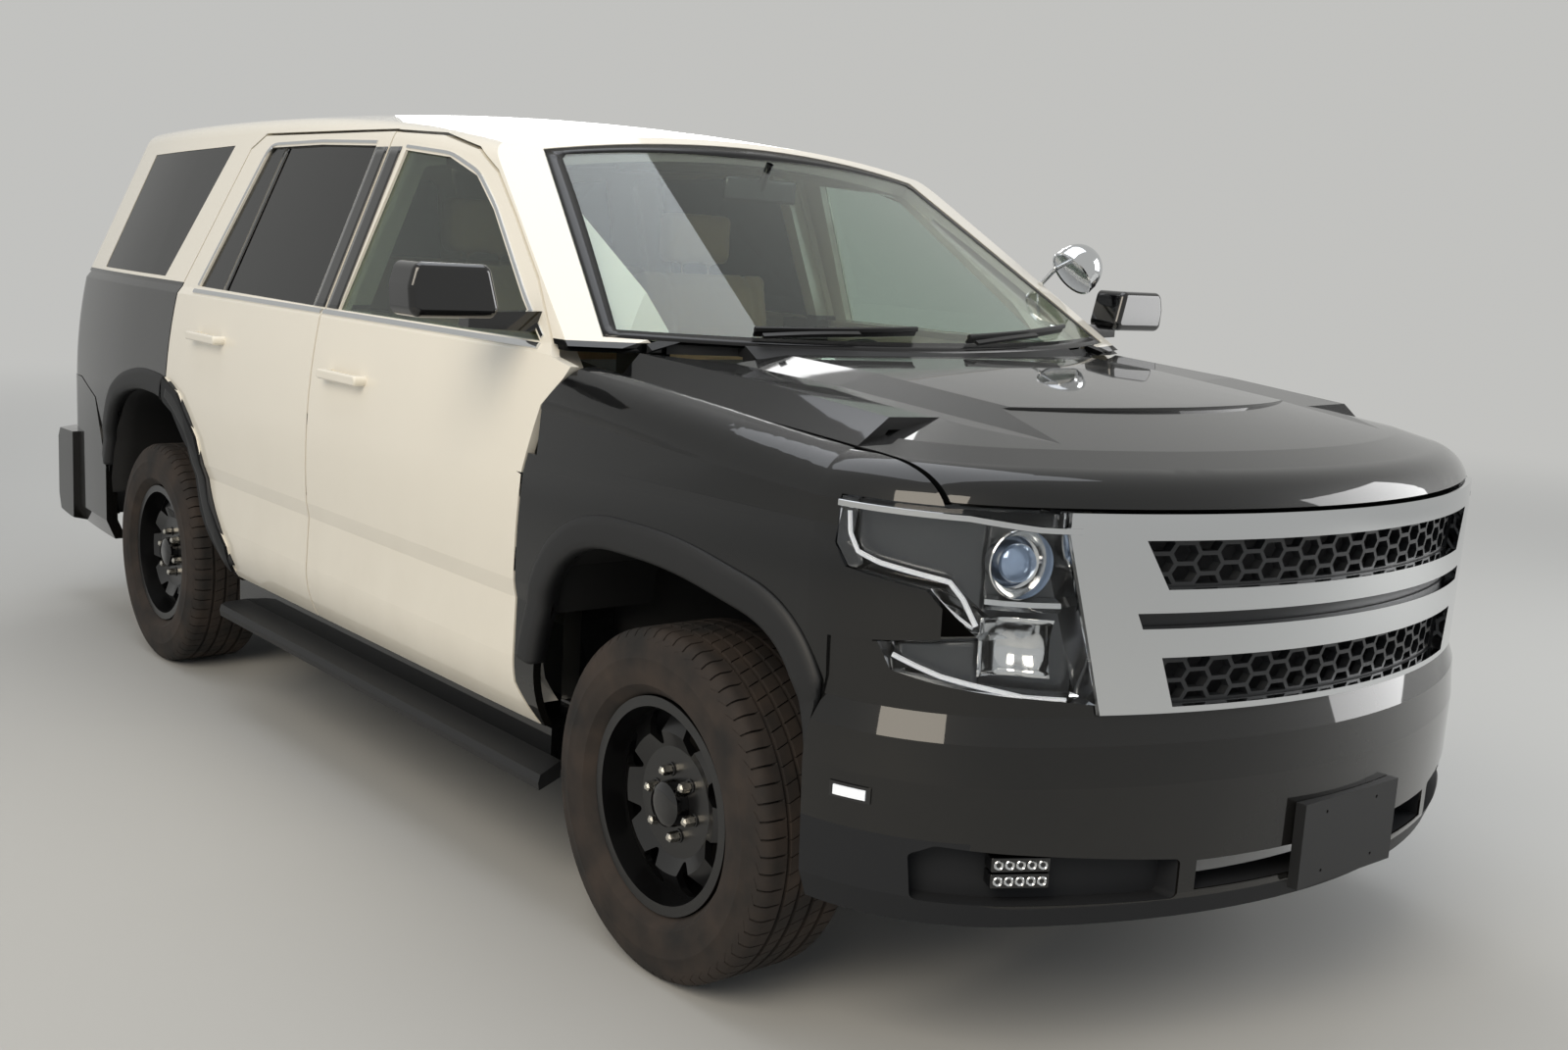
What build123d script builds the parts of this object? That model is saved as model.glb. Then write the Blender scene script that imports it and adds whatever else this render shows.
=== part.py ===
"""A full-size four-door police utility vehicle: body on a ladder frame, hinged doors, hood and liftgate,
steered front wheels and a live rear axle.

Millimetres. The front faces -Y, up is +Z, and +X is the driver's (left) side. The origin lies on the ground,
under the middle of the vehicle.
"""
from build123d import *
from math import acos, asin, atan, atan2, cos, degrees, hypot, pi, radians, sin, sqrt, tan
import os

os.makedirs("parts", exist_ok=True)

# Driving dimensions of the whole vehicle
LENGTH = 5180.0
HEIGHT = 1890.0
HALF_WIDTH = 1005.0            # half the body's width at its widest, without flares and mirrors
WHEELBASE = 2946.0
FRONT_OVERHANG = 990.0
HALF_TRACK = 872.0
TYRE_R = 372.0
TYRE_W = 262.0
NOSE_SET = 30.0                # from the front of the plate bracket back to the body's plan line
BUMPER_PROUD = 16.0            # how far the front bumper stands out of the plan line

FRONT_AXLE_Y = -LENGTH / 2 + FRONT_OVERHANG
REAR_AXLE_Y = FRONT_AXLE_Y + WHEELBASE

# The body's plan line at its widest level, as tangent arcs from the nose to the tail
NOSE_Y = -LENGTH / 2 + NOSE_SET
NOSE_R = 1500.0
NOSE_TURN = 29.6               # degrees that the nose arc turns on each side
CORNER_R = 440.0
SIDE_TOE = 4.0                 # degrees that the front side closes in
TAIL_PROUD = 95.0
TAIL_Y = LENGTH / 2 - TAIL_PROUD
TAIL_R = 5200.0
HEEL_R = 210.0
AFT_R = 8000.0
AFT_TOE = 5.0

# Side view: heights and stations of the main lines
SILL_Z = 300.0
DOOR_BOTTOM_Z = 412.0
BELT_Z = 1285.0
ROOF_APEX_Y = 900.0
ROOF_FRONT_R = 12000.0
ROOF_REAR_R = 25000.0
ROOF_CROWN_R = 4500.0
SCREEN_R = 3500.0              # the windshield's curve across the vehicle
SCREEN_ANGLE = 31.0            # degrees of the windshield above the horizontal
SCREEN_POINT = (-556.0, 1788.0)   # (y, z) of a point on the windshield's centre line
DOOR_SEAM_Y = 105.0            # the shut line between the front and the rear door
GAP = 8.0                      # the shut line round doors, hood and liftgate

ARC = "arc"                    # marks a point that an outline's arc passes through


def outline(points, radius=0.0):
    """A face bounded by the points in order. A point marked ARC is the middle of an arc."""
    edges = []
    count = len(points)
    index = 0
    while index < count:
        here, after = points[index], points[(index + 1) % count]
        if len(after) == 3:
            beyond = points[(index + 2) % count]
            edges.append(ThreePointArc(here[:2], after[:2], beyond[:2]))
            index += 2
        else:
            edges.append(Line(here[:2], after[:2]))
            index += 1
    face = make_face(edges)
    return fillet(face.vertices(), radius) if radius else face


def seen_from_side(face, low_x, high_x):
    """A (y, z) face as a prism between two planes of constant x."""
    return extrude(Plane((low_x, 0, 0), x_dir=(0, 1, 0), z_dir=(1, 0, 0)) * face, high_x - low_x)


def seen_from_front(face, low_y, high_y):
    """An (x, z) face as a prism between two planes of constant y."""
    return extrude(Plane((0, high_y, 0), x_dir=(1, 0, 0), z_dir=(0, -1, 0)) * face, high_y - low_y)


def seen_from_above(face, low_z, high_z):
    return extrude(Plane((0, 0, low_z)) * face, high_z - low_z)


def block(low, high):
    """A box between two opposite corners."""
    size = [b - a for a, b in zip(low, high)]
    middle = [(a + b) / 2 for a, b in zip(low, high)]
    return Pos(*middle) * Box(*size)


def both_sides(shape):
    return shape + mirror(shape, about=Plane.YZ)


# The plan line's arcs. An angle of 0 points forward (-Y) and 90 points to the left side (+X).

def on_circle(centre, radius, angle):
    return (centre[0] + radius * sin(radians(angle)), centre[1] - radius * cos(radians(angle)))


nose_centre = (0.0, NOSE_Y + NOSE_R)
corner_centre = on_circle(nose_centre, NOSE_R - CORNER_R, NOSE_TURN)
corner_end = on_circle(corner_centre, CORNER_R, 90 - SIDE_TOE)
FORE_R = (HALF_WIDTH - corner_end[0]) / (1 - cos(radians(SIDE_TOE)))
fore_centre = (HALF_WIDTH - FORE_R, corner_end[1] + FORE_R * sin(radians(SIDE_TOE)))
tail_centre = (0.0, TAIL_Y - TAIL_R)
# The aft arc's start lies where the heel arc's centre comes to the right distance from the tail arc's centre.
heel_x = HALF_WIDTH - AFT_R + (AFT_R - HEEL_R) * cos(radians(AFT_TOE))
heel_y = tail_centre[1] + sqrt((TAIL_R - HEEL_R) ** 2 - heel_x ** 2)
aft_centre = (HALF_WIDTH - AFT_R, heel_y - (AFT_R - HEEL_R) * sin(radians(AFT_TOE)))
heel_centre = (heel_x, heel_y)
TAIL_TURN = 180 - degrees(atan2(heel_x, heel_y - tail_centre[1]))

# name: (centre, radius, first angle, last angle), or the straight run's two stations
PLAN = {
    "nose": (nose_centre, NOSE_R, 0.0, NOSE_TURN),
    "corner": (corner_centre, CORNER_R, NOSE_TURN, 90 - SIDE_TOE),
    "fore": (fore_centre, FORE_R, 90 - SIDE_TOE, 90.0),
    "mid": (fore_centre[1], aft_centre[1]),
    "aft": (aft_centre, AFT_R, 90.0, 90 + AFT_TOE),
    "heel": (heel_centre, HEEL_R, 90 + AFT_TOE, TAIL_TURN),
    "tail": (tail_centre, TAIL_R, TAIL_TURN, 180.0),
}


def ring(face, *stretches):
    """A profile in (n, z) swept along stretches of the left plan line. n is the distance out of that line."""
    swept = []
    for name in stretches:
        if name == "mid":
            start, end = PLAN[name]
            plane = Plane((HALF_WIDTH, start, 0), x_dir=(1, 0, 0), z_dir=(0, -1, 0))
            swept.append(extrude(plane * face, end - start, dir=(0, 1, 0)))
        else:
            centre, radius, first, last = PLAN[name]
            out = (sin(radians(first)), -cos(radians(first)), 0)
            plane = Plane((*centre, 0), x_dir=out, z_dir=(out[1], -out[0], 0))
            axis = Axis((*centre, 0), (0, 0, 1))
            swept.append(revolve(plane * Pos(radius, 0, 0) * face, axis, last - first))
    solid = swept[0]
    for piece in swept[1:]:
        solid = solid + piece
    return solid


# The side's outer line in (n, z): sill tuck, lower panel, crease, upper panel, shoulder, belt, window plane
SILL_TOP = (-52.0, 400.0)
LOWER_TURN = (-5.0, 560.0)
CREASE_LOW = (-12.0, 700.0)
CREASE_TOP = (-4.0, 742.0)
SHOULDER = (-38.0, 1262.0)
BELT = (-55.0, BELT_Z)
CANT = (-290.0, 1865.0)
GLASS_LEAN = (BELT[0] - CANT[0]) / (CANT[1] - BELT[1])
SKIN_LOW = [SILL_TOP, (-18.0, 470.0, ARC), LOWER_TURN, CREASE_LOW, CREASE_TOP, (0.0, 900.0, ARC), SHOULDER, BELT]
SKIN_UP = [BELT, CANT]


def shifted(points, depth):
    return [(p[0] - depth, *p[1:]) for p in points]


def slab(points, outer, inner):
    """The profile between the skin line taken in by outer and by inner."""
    return outline(shifted(points, outer) + shifted(points, inner)[::-1])


def skin_n(z):
    """n of the window plane at a height above the belt."""
    return BELT[0] - (z - BELT_Z) * GLASS_LEAN


# Cabin above the belt: leaning sides and tail, crowned roof, windshield

PLAN["aft_on"] = (aft_centre, AFT_R, 90.0, 98.0)
PLAN["tail_on"] = (tail_centre, TAIL_R, 166.0, 180.0)
TAIL_BELT = (-42.0, BELT_Z)
TAIL_CANT = (-185.0, 1850.0)
UPPER_CORNER_R = 150.0
CANT_R = 75.0
HEADER_Y = -551.0


def tail_n(z):
    return TAIL_BELT[0] + (z - BELT_Z) * (TAIL_CANT[0] - TAIL_BELT[0]) / (TAIL_CANT[1] - TAIL_BELT[1])


def roof_cut(inset):
    """All that lies above the roof surface taken in by inset."""
    base_z = HEIGHT - ROOF_CROWN_R
    crown, front, back = ROOF_CROWN_R - inset, -1900.0, 2700.0

    def radius_at(y):
        big = ROOF_FRONT_R if y < ROOF_APEX_Y else ROOF_REAR_R
        return crown - (big - inset) + sqrt((big - inset) ** 2 - (y - ROOF_APEX_Y) ** 2)

    middle_f, middle_b = (front + ROOF_APEX_Y) / 2, (back + ROOF_APEX_Y) / 2
    face = outline([(front, crown + 400), (front, radius_at(front)), (middle_f, radius_at(middle_f), ARC),
                    (ROOF_APEX_Y, crown), (middle_b, radius_at(middle_b), ARC), (back, radius_at(back)),
                    (back, crown + 400)])
    half_turn = 17.0
    lean = radians(half_turn)
    plane = Plane((0, 0, base_z), x_dir=(0, 1, 0), z_dir=(cos(lean), 0, sin(lean)))
    return revolve(plane * face, Axis((0, 0, base_z), (0, 1, 0)), 2 * half_turn)


SLOPE = (cos(radians(SCREEN_ANGLE)), sin(radians(SCREEN_ANGLE)))
SCREEN_PLANE = Plane((0, *SCREEN_POINT), x_dir=(1, 0, 0), z_dir=(0, *SLOPE))


def screen_layer(outer, inner, low=-1100.0, high=500.0):
    """The layer of the windshield's cylinder between two insets, from low to high along its slope."""
    half = 1150.0
    points = []
    for inset, turn in ((outer, 1), (inner, -1)):
        radius = SCREEN_R - inset
        edge = sqrt(radius ** 2 - half ** 2) - SCREEN_R
        points += [(-turn * half, -edge), (0, inset, ARC), (turn * half, -edge)]
    return extrude(SCREEN_PLANE * Pos(0, 0, low) * outline(points), high - low)


def side_volume(inset):
    """What lies inside the cabin's leaning side, taken in by inset."""
    foot_z = BELT_Z - 12
    side = outline([(skin_n(foot_z) - inset, foot_z), (skin_n(2000) - inset, 2000),
                    (-1150, 2000), (-1150, foot_z)])
    return ring(side, "fore", "mid", "aft_on")


def cabin(inset):
    """The left half of the cabin's closed volume above the belt, taken in by inset."""
    foot_z = BELT_Z - 12
    shape = side_volume(inset)
    tail = outline([(tail_n(foot_z) - inset, foot_z), (tail_n(2000) - inset, 2000), (500, 2000), (500, foot_z)])
    shape = shape - ring(tail, "tail_on") - roof_cut(inset) - screen_layer(-1300, inset, -2400.0)
    shape = shape & block((0, -2200, foot_z), (1200, 2700, 2000))

    def upright(edge):
        middle = edge @ 0.5
        return middle.Y > 2100 and middle.X > 300 and abs((edge % 0.5).Z) > 0.8

    shape = fillet([e for e in shape.edges() if upright(e)], UPPER_CORNER_R - inset)

    def cant(edge):
        middle = edge @ 0.5
        return middle.Z > 1700 and middle.X > 300 and abs((edge % 0.5).Y) > 0.8

    return fillet([e for e in shape.edges() if cant(e)], max(CANT_R - 0.8 * inset, 20.0))


# Outlines seen from the side, as (y, z)

FRONT_ARCH = [(-2052, 100), (-2032, 640), (-1945, 815), (-1620, 878), (-1330, 880), (-1190, 790), (-1125, 600),
              (-1110, 100)]
REAR_ARCH = [(735, 100), (735, 455), (885, 585), (985, 775), (1120, 880), (1260, 922), (1500, 925), (1710, 868),
             (1800, 740), (1835, 560), (1840, 100)]
FRONT_DOOR = [(-1098, DOOR_BOTTOM_Z), (-1036, 500), (-1026, 720), (-1048, 995), (-1095, 1150), (-1165, 1215),
              (-1186, 1243), (-1105, 1258), (-919, 1418), (-718, 1556), (-545, 1668), (-400, 1728),
              (-172, 1768), (DOOR_SEAM_Y - GAP / 2, 1780), (DOOR_SEAM_Y - GAP / 2, DOOR_BOTTOM_Z)]
REAR_DOOR = [(DOOR_SEAM_Y + GAP / 2, DOOR_BOTTOM_Z), (DOOR_SEAM_Y + GAP / 2, 1782), (1010, 1780),
             (1090, 1735), (1205, 1300), (1222, 925), (1205, 907), (985, 783), (885, 593), (735, 463),
             (700, DOOR_BOTTOM_Z)]
FRONT_GLASS = [(-1025, 1287), (-890, 1371), (-600, 1575), (-450, 1660), (-270, 1708), (-2, 1728), (22, 1287)]
REAR_GLASS = [(190, 1287), (190, 1742), (560, 1748), (940, 1741), (1065, 1292)]
QUARTER_GLASS = [(1396, 1308), (1239, 1750), (2001, 1722), (2068, 1308)]
HINGE_N = -14.0                # how far out of the plan line each door's hinge axis lies
HINGE_BACK = 40.0              # behind the door's leading edge
FRONT_HINGE_Y = -1026.0 + HINGE_BACK
REAR_HINGE_Y = DOOR_SEAM_Y + GAP / 2 + HINGE_BACK
HINGE_LEVELS = (790.0, 965.0)

FLANGE = 22.0                  # thickness of a door's outer edge
DOOR_DEPTH = 100.0
FRAME_DEPTH = 38.0
STEP_IN = 30.0                 # how far the door's body stands in from its outline
WALL = 48.0                    # thickness of the cabin's pillars and rails
GLASS_T = 5.0
FIT = 0.3                      # seat between fixed pieces


def grown(points, amount):
    """An outline moved outward by amount, or inward by a negative one."""
    face = outline(points)
    return offset(face, amount, kind=Kind.INTERSECTION) if amount else face


def side_prism(face, low_x=250.0, high_x=1300.0):
    return seen_from_side(face, low_x, high_x)


def plan_x(y):
    """x of the plan line beside the cabin and at the tail's side."""
    if y < PLAN["mid"][0]:
        return fore_centre[0] + sqrt(FORE_R ** 2 - (y - fore_centre[1]) ** 2)
    if y > PLAN["mid"][1]:
        return aft_centre[0] + sqrt(AFT_R ** 2 - (y - aft_centre[1]) ** 2)
    return HALF_WIDTH


cabin_skin = cabin(0)
cabin_flange = cabin(20)
cabin_frame = cabin(FRAME_DEPTH)
cabin_wall = cabin(WALL)
cabin_lining = cabin(WALL + 22)
SIDE_RUN = ("fore", "mid", "aft")

parts = {}                     # node name: list of solids


def keep(name, *shapes):
    """File shapes under a node, each solid of its own."""
    for shape in shapes:
        for solid in shape.solids():
            if solid.volume > 500:
                parts.setdefault(name, []).append(solid)


def mirrored(shape):
    return mirror(shape, about=Plane.YZ)


pillar_core_zone = side_volume(FRAME_DEPTH - 0.5) & block((250, -1300, BELT_Z - 12), (1300, -500, 1660))

# Doors: an outer flange out to the shut line, a deeper body inside it, and an upper frame round the glass

def door(points, glass_points, stretches):
    flange_zone = side_prism(outline(points), 690)
    body_zone = side_prism(grown(points, -STEP_IN))
    frame_zone = side_prism(grown(points, -12), 690)
    low_flange = ring(slab(SKIN_LOW, 0, FLANGE), *stretches) & flange_zone
    low_body = ring(slab(SKIN_LOW, FLANGE, DOOR_DEPTH), *stretches) & body_zone
    up_flange = (cabin_skin - cabin_flange) & flange_zone
    up_frame = ((cabin_flange - cabin_frame) & frame_zone) - pillar_core_zone
    above_belt = block((250, -2200, BELT_Z), (1300, 2700, 2200))
    up = (up_flange + up_frame) & above_belt
    window = side_prism(outline(glass_points))
    shell = low_flange + low_body + up - (window & above_belt)
    slot = cabin(8) - cabin(8 + GLASS_T + 2 * FIT)
    pane = (cabin(8 + FIT) - cabin(8 + FIT + GLASS_T)) & side_prism(grown(glass_points, 10 - FIT))
    groove = slot & side_prism(grown(glass_points, 10))
    return shell - groove, pane & above_belt


HANDLE_LONG, HANDLE_HIGH = 240.0, 27.0
HANDLE_OUT = HALF_WIDTH + 20
HANDLE_GRIP = 17.0             # thickness of the part that is gripped


def handle(y, z):
    """A pull handle: a rounded bar on two feet."""
    spot = Pos(y, z)
    bar = extrude(Plane((HALF_WIDTH - 25, 0, 0), x_dir=(0, 1, 0), z_dir=(1, 0, 0)) * spot
                  * RectangleRounded(HANDLE_LONG, HANDLE_HIGH, HANDLE_HIGH / 2 - 1),
                  HANDLE_OUT - HALF_WIDTH + 25)
    bar = fillet(bar.edges().sort_by(Axis.X)[-8:], 6)
    return bar - block((HALF_WIDTH - 40, y - 80, z - 20), (HANDLE_OUT - HANDLE_GRIP, y + 80, z + 20))


front_door, front_pane = door(FRONT_DOOR, FRONT_GLASS, ("fore", "mid"))
rear_door, rear_pane = door(REAR_DOOR, REAR_GLASS, ("mid",))
front_door = front_door + handle(-118.0, 1116.0)
rear_door = rear_door + handle(866.0, 1142.0)

# Body side: cabin wall round the door openings, hinge pillar, centre pillar, sill and quarter panel

front_shut = side_prism(grown(FRONT_DOOR, GAP), 665)
rear_shut = side_prism(grown(REAR_DOOR, GAP), 665)
front_hole = side_prism(grown(FRONT_DOOR, -34), 600)
rear_hole = side_prism(grown(REAR_DOOR, -34), 600)
front_arch = side_prism(grown(FRONT_ARCH, 0), 500)
rear_arch = side_prism(grown(REAR_ARCH, 0), 500)

ROOF_EDGE_X = 600.0
GATE_SEAM_Y = 2231.0           # where the roof ends and the liftgate begins
GATE_HINGE_Y = GATE_SEAM_Y + 4 + HINGE_BACK
GATE_HINGE_Z = HEIGHT - (GATE_HINGE_Y - ROOF_APEX_Y) ** 2 / (2 * ROOF_REAR_R) - 14
GATE = [(-10, 690), (560, 690), (640, 745), (696, 900), (700, 1285), (664, 1500), (600, 1740), (560, 1950), (-10, 1950)]
GATE_GLASS = [(0, 1330), (590, 1330), (628, 1365), (560, 1690), (520, 1725), (0, 1732)]
SCREEN_FACE = Plane((0, *SCREEN_POINT), x_dir=(1, 0, 0), z_dir=(0, -SLOPE[1], SLOPE[0]))
SCREEN_FOOT = (861.0, -756.0)  # (x, distance along the slope) of the windshield's lower and upper corners
SCREEN_HEAD = (650.0, 4.0)


def screen_prism(grow):
    """The windshield's outline, grown by an amount, as a prism square to its slope."""
    foot = (SCREEN_FOOT[0] + 1.2 * grow, SCREEN_FOOT[1] - grow)
    head = (SCREEN_HEAD[0] + 1.2 * grow, SCREEN_HEAD[1] + grow)
    face = outline([(-1, foot[1] - 206), (foot[0] / 2, foot[1] - 152, ARC), foot, head, (-1, head[1])])
    return extrude(SCREEN_FACE * Pos(0, 0, -260) * face, 560)


def rear_prism(face, low_y, high_y):
    return seen_from_front(face, low_y, high_y)


def gate_zone(amount, low_y=2000.0):
    """What belongs to the liftgate: behind the roof seam and inside the rear outline grown by amount."""
    shape = rear_prism(grown(GATE, amount), low_y, 2800)
    return shape - block((-50, 1900, 1550), (1300, GATE_SEAM_Y + 4 - amount, 2100))


wall = cabin_skin - cabin_wall
left_half = block((0, -3000, 0), (1300, 3000, 2200))
roof_zone = block((-1, -760, BELT_Z), (ROOF_EDGE_X, GATE_SEAM_Y - 4, 2000))
screen_seat = screen_layer(-60, 8) & screen_prism(0)
quarter_seat = (cabin(-20) - cabin(8)) & side_prism(outline(QUARTER_GLASS), 500)
quarter_hole = side_prism(grown(QUARTER_GLASS, -14), 400)
windshield = screen_layer(2, 8 - FIT) & screen_prism(-1.0) & left_half
quarter_pane = (cabin(2) - cabin(8 - FIT)) & side_prism(grown(QUARTER_GLASS, -1.0), 500)
upper_wall = wall - screen_prism(-16) - screen_seat - quarter_seat - quarter_hole
upper_wall = upper_wall & block((-1, -1195, BELT_Z), (1300, 2700, 2000))
gate_hole = gate_zone(GAP - 4, 1900)
roof_half = upper_wall & roof_zone
side_upper = upper_wall - block((-10, -1300, BELT_Z - 1), (ROOF_EDGE_X + FIT, 2800, 2000)) - gate_hole
side_upper = side_upper - front_shut - rear_shut

# Seal flanges behind the doors' edges
lining = (cabin_wall - cabin_lining) & block((640, -1130, BELT_Z), (1300, 1330, 1800))
side_band = side_prism(grown(FRONT_DOOR, 34), 640) + side_prism(grown(REAR_DOOR, 34), 640)
lining = (lining & side_band) - front_hole - rear_hole
lining = lining - Pos(HALF_WIDTH + HINGE_N, FRONT_HINGE_Y, 1305) * Cylinder(140, 64)
side_upper = side_upper + lining

SILL_OUT = HALF_WIDTH - 65
HINGE_PIN_R = 4.0
HINGE_KNUCKLE_R = 7.0
PIN_CLEARANCE = 0.05
PILLAR_IN = HALF_WIDTH - 215
PILLAR_OUT = HALF_WIDTH - 162

pillar_low = ring(slab(SKIN_LOW, 72, 190), "mid") & block((772, DOOR_SEAM_Y - 25, 400), (1100, DOOR_SEAM_Y + 25, BELT_Z))
pillar_up = (cabin(WALL + 21) - cabin(120)) & block((600, DOOR_SEAM_Y - 25, BELT_Z - 10), (1100, DOOR_SEAM_Y + 25, 1800))
pillar_core = block((PILLAR_IN, DOOR_SEAM_Y - 70, 400), (PILLAR_OUT, DOOR_SEAM_Y + 110, BELT_Z))
hinge_pillar = block((778, -1120, 400), (870, -1045, 1118))
cowl_side = block((700, -1184, 1000), (779, -1084, 1300)) - screen_layer(-200, 9)
pillar_root = block((700, -1195, 1274), (945, -1088, 1300)) & cabin(8)
pillar_root = pillar_root - side_prism(grown(FRONT_DOOR, GAP), 840) - screen_layer(-60, 9)
sill = block((770, -1120, SILL_Z), (SILL_OUT, 740, 404))

# Quarter panel, with the tail lamp's and the bumper's places cut out
lower_wall = ring(slab(SKIN_LOW, 0, 25), "mid", "aft", "heel") & block((500, 690, 300), (1300, 2800, BELT_Z))
BUMPER_SIDE = [(1700, 250), (1700, 445), (1850, 600), (1980, 837), (2174, 893), (2800, 893), (2800, 250)]
LAMP_SIDE = [(2352, 930), (2372, 1080), (2330, 1262), (2800, 1262), (2800, 930)]
bumper_place = side_prism(grown(BUMPER_SIDE, 3), 300)
lamp_place = side_prism(grown(LAMP_SIDE, FIT), 640)
quarter = lower_wall - rear_shut - rear_arch - bumper_place - lamp_place - gate_hole
HOUSE_X = 690.0
wheel_house = block((HOUSE_X - 18, 880, 560), (HOUSE_X, 1840, 1020))
wheel_house = wheel_house + block((HOUSE_X - 1, 1245, 1000), (HALF_WIDTH - 27, 1840, 1020))
tail_post = ring(slab(SKIN_LOW, 25, 110), "aft", "heel") & block((700, 2300, 900), (1000, 2480, BELT_Z + 1))
tail_post = tail_post - gate_zone(24, 1900) - side_prism(grown(LAMP_SIDE, FIT), 640) - rear_shut

side = side_upper + pillar_low + pillar_up + pillar_core + hinge_pillar + cowl_side + pillar_root + sill

# Door hinges: a fixed arm with the middle knuckle, and two knuckles with a pin on the door


def hinge_parts(y):
    """The pocket cut in the door, the door's knuckles with their pin, and the fixed arm."""
    axis_x = HALF_WIDTH + HINGE_N
    pockets, movings, fixeds = [], [], []
    for z in HINGE_LEVELS:
        pockets.append(block((HALF_WIDTH - 150, y - 70, z - 28), (HALF_WIDTH - 5, y + 14, z + 28)))
        arm = block((HALF_WIDTH - 165, y - 7, z - 8), (axis_x, y + 7, z + 8))
        arm = arm + Pos(axis_x, y, z) * Cylinder(HINGE_KNUCKLE_R, 16)
        arm = arm - Pos(axis_x, y, z) * Cylinder(HINGE_PIN_R + PIN_CLEARANCE, 40)
        fixeds.append(arm)
        moving = Pos(axis_x, y, z) * Cylinder(HINGE_PIN_R, 50)
        for shift in (16.5, -16.5):
            moving = moving + Pos(axis_x, y, z + shift) * Cylinder(HINGE_KNUCKLE_R, 15)
            moving = moving + block((axis_x - 6, y, z + shift - 7.5), (axis_x + 2, y + 16, z + shift + 7.5))
        movings.append(moving)
    return pockets, movings, fixeds


front_pockets, front_moving, front_fixed = hinge_parts(FRONT_HINGE_Y)
rear_pockets, rear_moving, rear_fixed = hinge_parts(REAR_HINGE_Y)
for pocket, moving in zip(front_pockets, front_moving):
    front_door = front_door - pocket + moving
for pocket, moving in zip(rear_pockets, rear_moving):
    rear_door = rear_door - pocket + moving
for arm, z in zip(front_fixed, HINGE_LEVELS):
    arm_foot = block((HALF_WIDTH - 165, -1090, z - 8), (HALF_WIDTH - 146, FRONT_HINGE_Y + 7, z + 8))
    side = side + arm + arm_foot + block((HALF_WIDTH - 165, -1090, z - 8), (HALF_WIDTH - 130, -1060, z + 8))
for arm in rear_fixed:
    side = side + arm
keep("body_side_left", side, quarter, wheel_house, tail_post)
keep("body_side_right", *[mirrored(s) for s in parts["body_side_left"]])
keep("windshield", both_sides(windshield))
keep("quarter_glass", quarter_pane, mirrored(quarter_pane))

# Liftgate, hinged at its front edge under the roof skin

GATE_HINGE_X = 200.0
gate_line = [(-6, 690), (0, 900, ARC), (-36, 1255), (TAIL_BELT[0], BELT_Z)]
gate_low = ring(slab(gate_line, 0, 60), "heel", "tail") & gate_zone(0)
gate_up = (cabin_skin - cabin_frame) & gate_zone(0) & block((-1, 2000, BELT_Z), (1300, 2800, 2000))
gate_top_edge = block((-1, 2100, 1700), (1300, GATE_SEAM_Y + 110, 2000)) & cabin(FLANGE)
gate_up = gate_up - gate_top_edge
gate_window = rear_prism(grown(GATE_GLASS, -12), 2250, 2800)
gate_seat = (cabin(-20) - cabin(8)) & rear_prism(outline(GATE_GLASS), 2250, 2800)
gate_pane = (cabin(2) - cabin(8 - FIT)) & rear_prism(grown(GATE_GLASS, -1), 2250, 2800)
gate = both_sides(gate_low + gate_up - gate_window - gate_seat)
roof = both_sides(roof_half)
for x in (GATE_HINGE_X, -GATE_HINGE_X):
    pin_spot = Pos(x, GATE_HINGE_Y, GATE_HINGE_Z)
    lie = Rot(0, 90, 0)
    gate = gate - block((x - 28, GATE_SEAM_Y - 40, GATE_HINGE_Z - 60), (x + 28, GATE_HINGE_Y + 14, GATE_HINGE_Z + 7.8))
    moving = pin_spot * lie * Cylinder(HINGE_PIN_R, 50)
    fixed = block((x - 8, GATE_HINGE_Y - 7, GATE_HINGE_Z - 70), (x + 8, GATE_HINGE_Y + 7, GATE_HINGE_Z))
    fixed = fixed + pin_spot * lie * Cylinder(HINGE_KNUCKLE_R, 16)
    fixed = fixed - pin_spot * lie * Cylinder(HINGE_PIN_R + PIN_CLEARANCE, 40)
    for shift in (16.5, -16.5):
        moving = moving + pin_spot * Pos(shift, 0, 0) * lie * Cylinder(HINGE_KNUCKLE_R, 15)
        moving = moving + block((x + shift - 7.5, GATE_HINGE_Y, GATE_HINGE_Z - 6),
                                (x + shift + 7.5, GATE_HINGE_Y + 17, GATE_HINGE_Z + 2))
    gate = gate + moving
    roof = roof + fixed + block((x - 40, GATE_SEAM_Y - 60, GATE_HINGE_Z - 88), (x + 40, GATE_HINGE_Y + 7, GATE_HINGE_Z - 62))
    roof = roof + block((x - 40, GATE_SEAM_Y - 60, GATE_HINGE_Z - 88), (x + 40, GATE_SEAM_Y - 10, GATE_HINGE_Z))
keep("roof", roof)
keep("liftgate", gate)
keep("liftgate_glass", both_sides(gate_pane))

# Mirrors on the front doors
MIRROR_OUTLINE = [(1050, 1334), (1270, 1334), (1276, 1400), (1262, 1452), (1082, 1452)]
mirror_head = seen_from_front(outline(MIRROR_OUTLINE, 24), -1040, -935)
mirror_head = fillet(mirror_head.edges().group_by(Axis.Y)[0], 18)
mirror_arm = seen_from_front(outline([(900, 1302), (1110, 1312), (1110, 1345), (900, 1352)]), -990, -945)
mirror_shape = mirror_head + mirror_arm - (cabin(-FIT) & block((0, -1200, BELT_Z), (1300, 0, 2000)))
keep("mirrors_left", mirror_shape)
keep("mirrors_right", mirrored(mirror_shape))

# Front fenders: the side's lower line below, a lofted shoulder above, and the rolled corner

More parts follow.
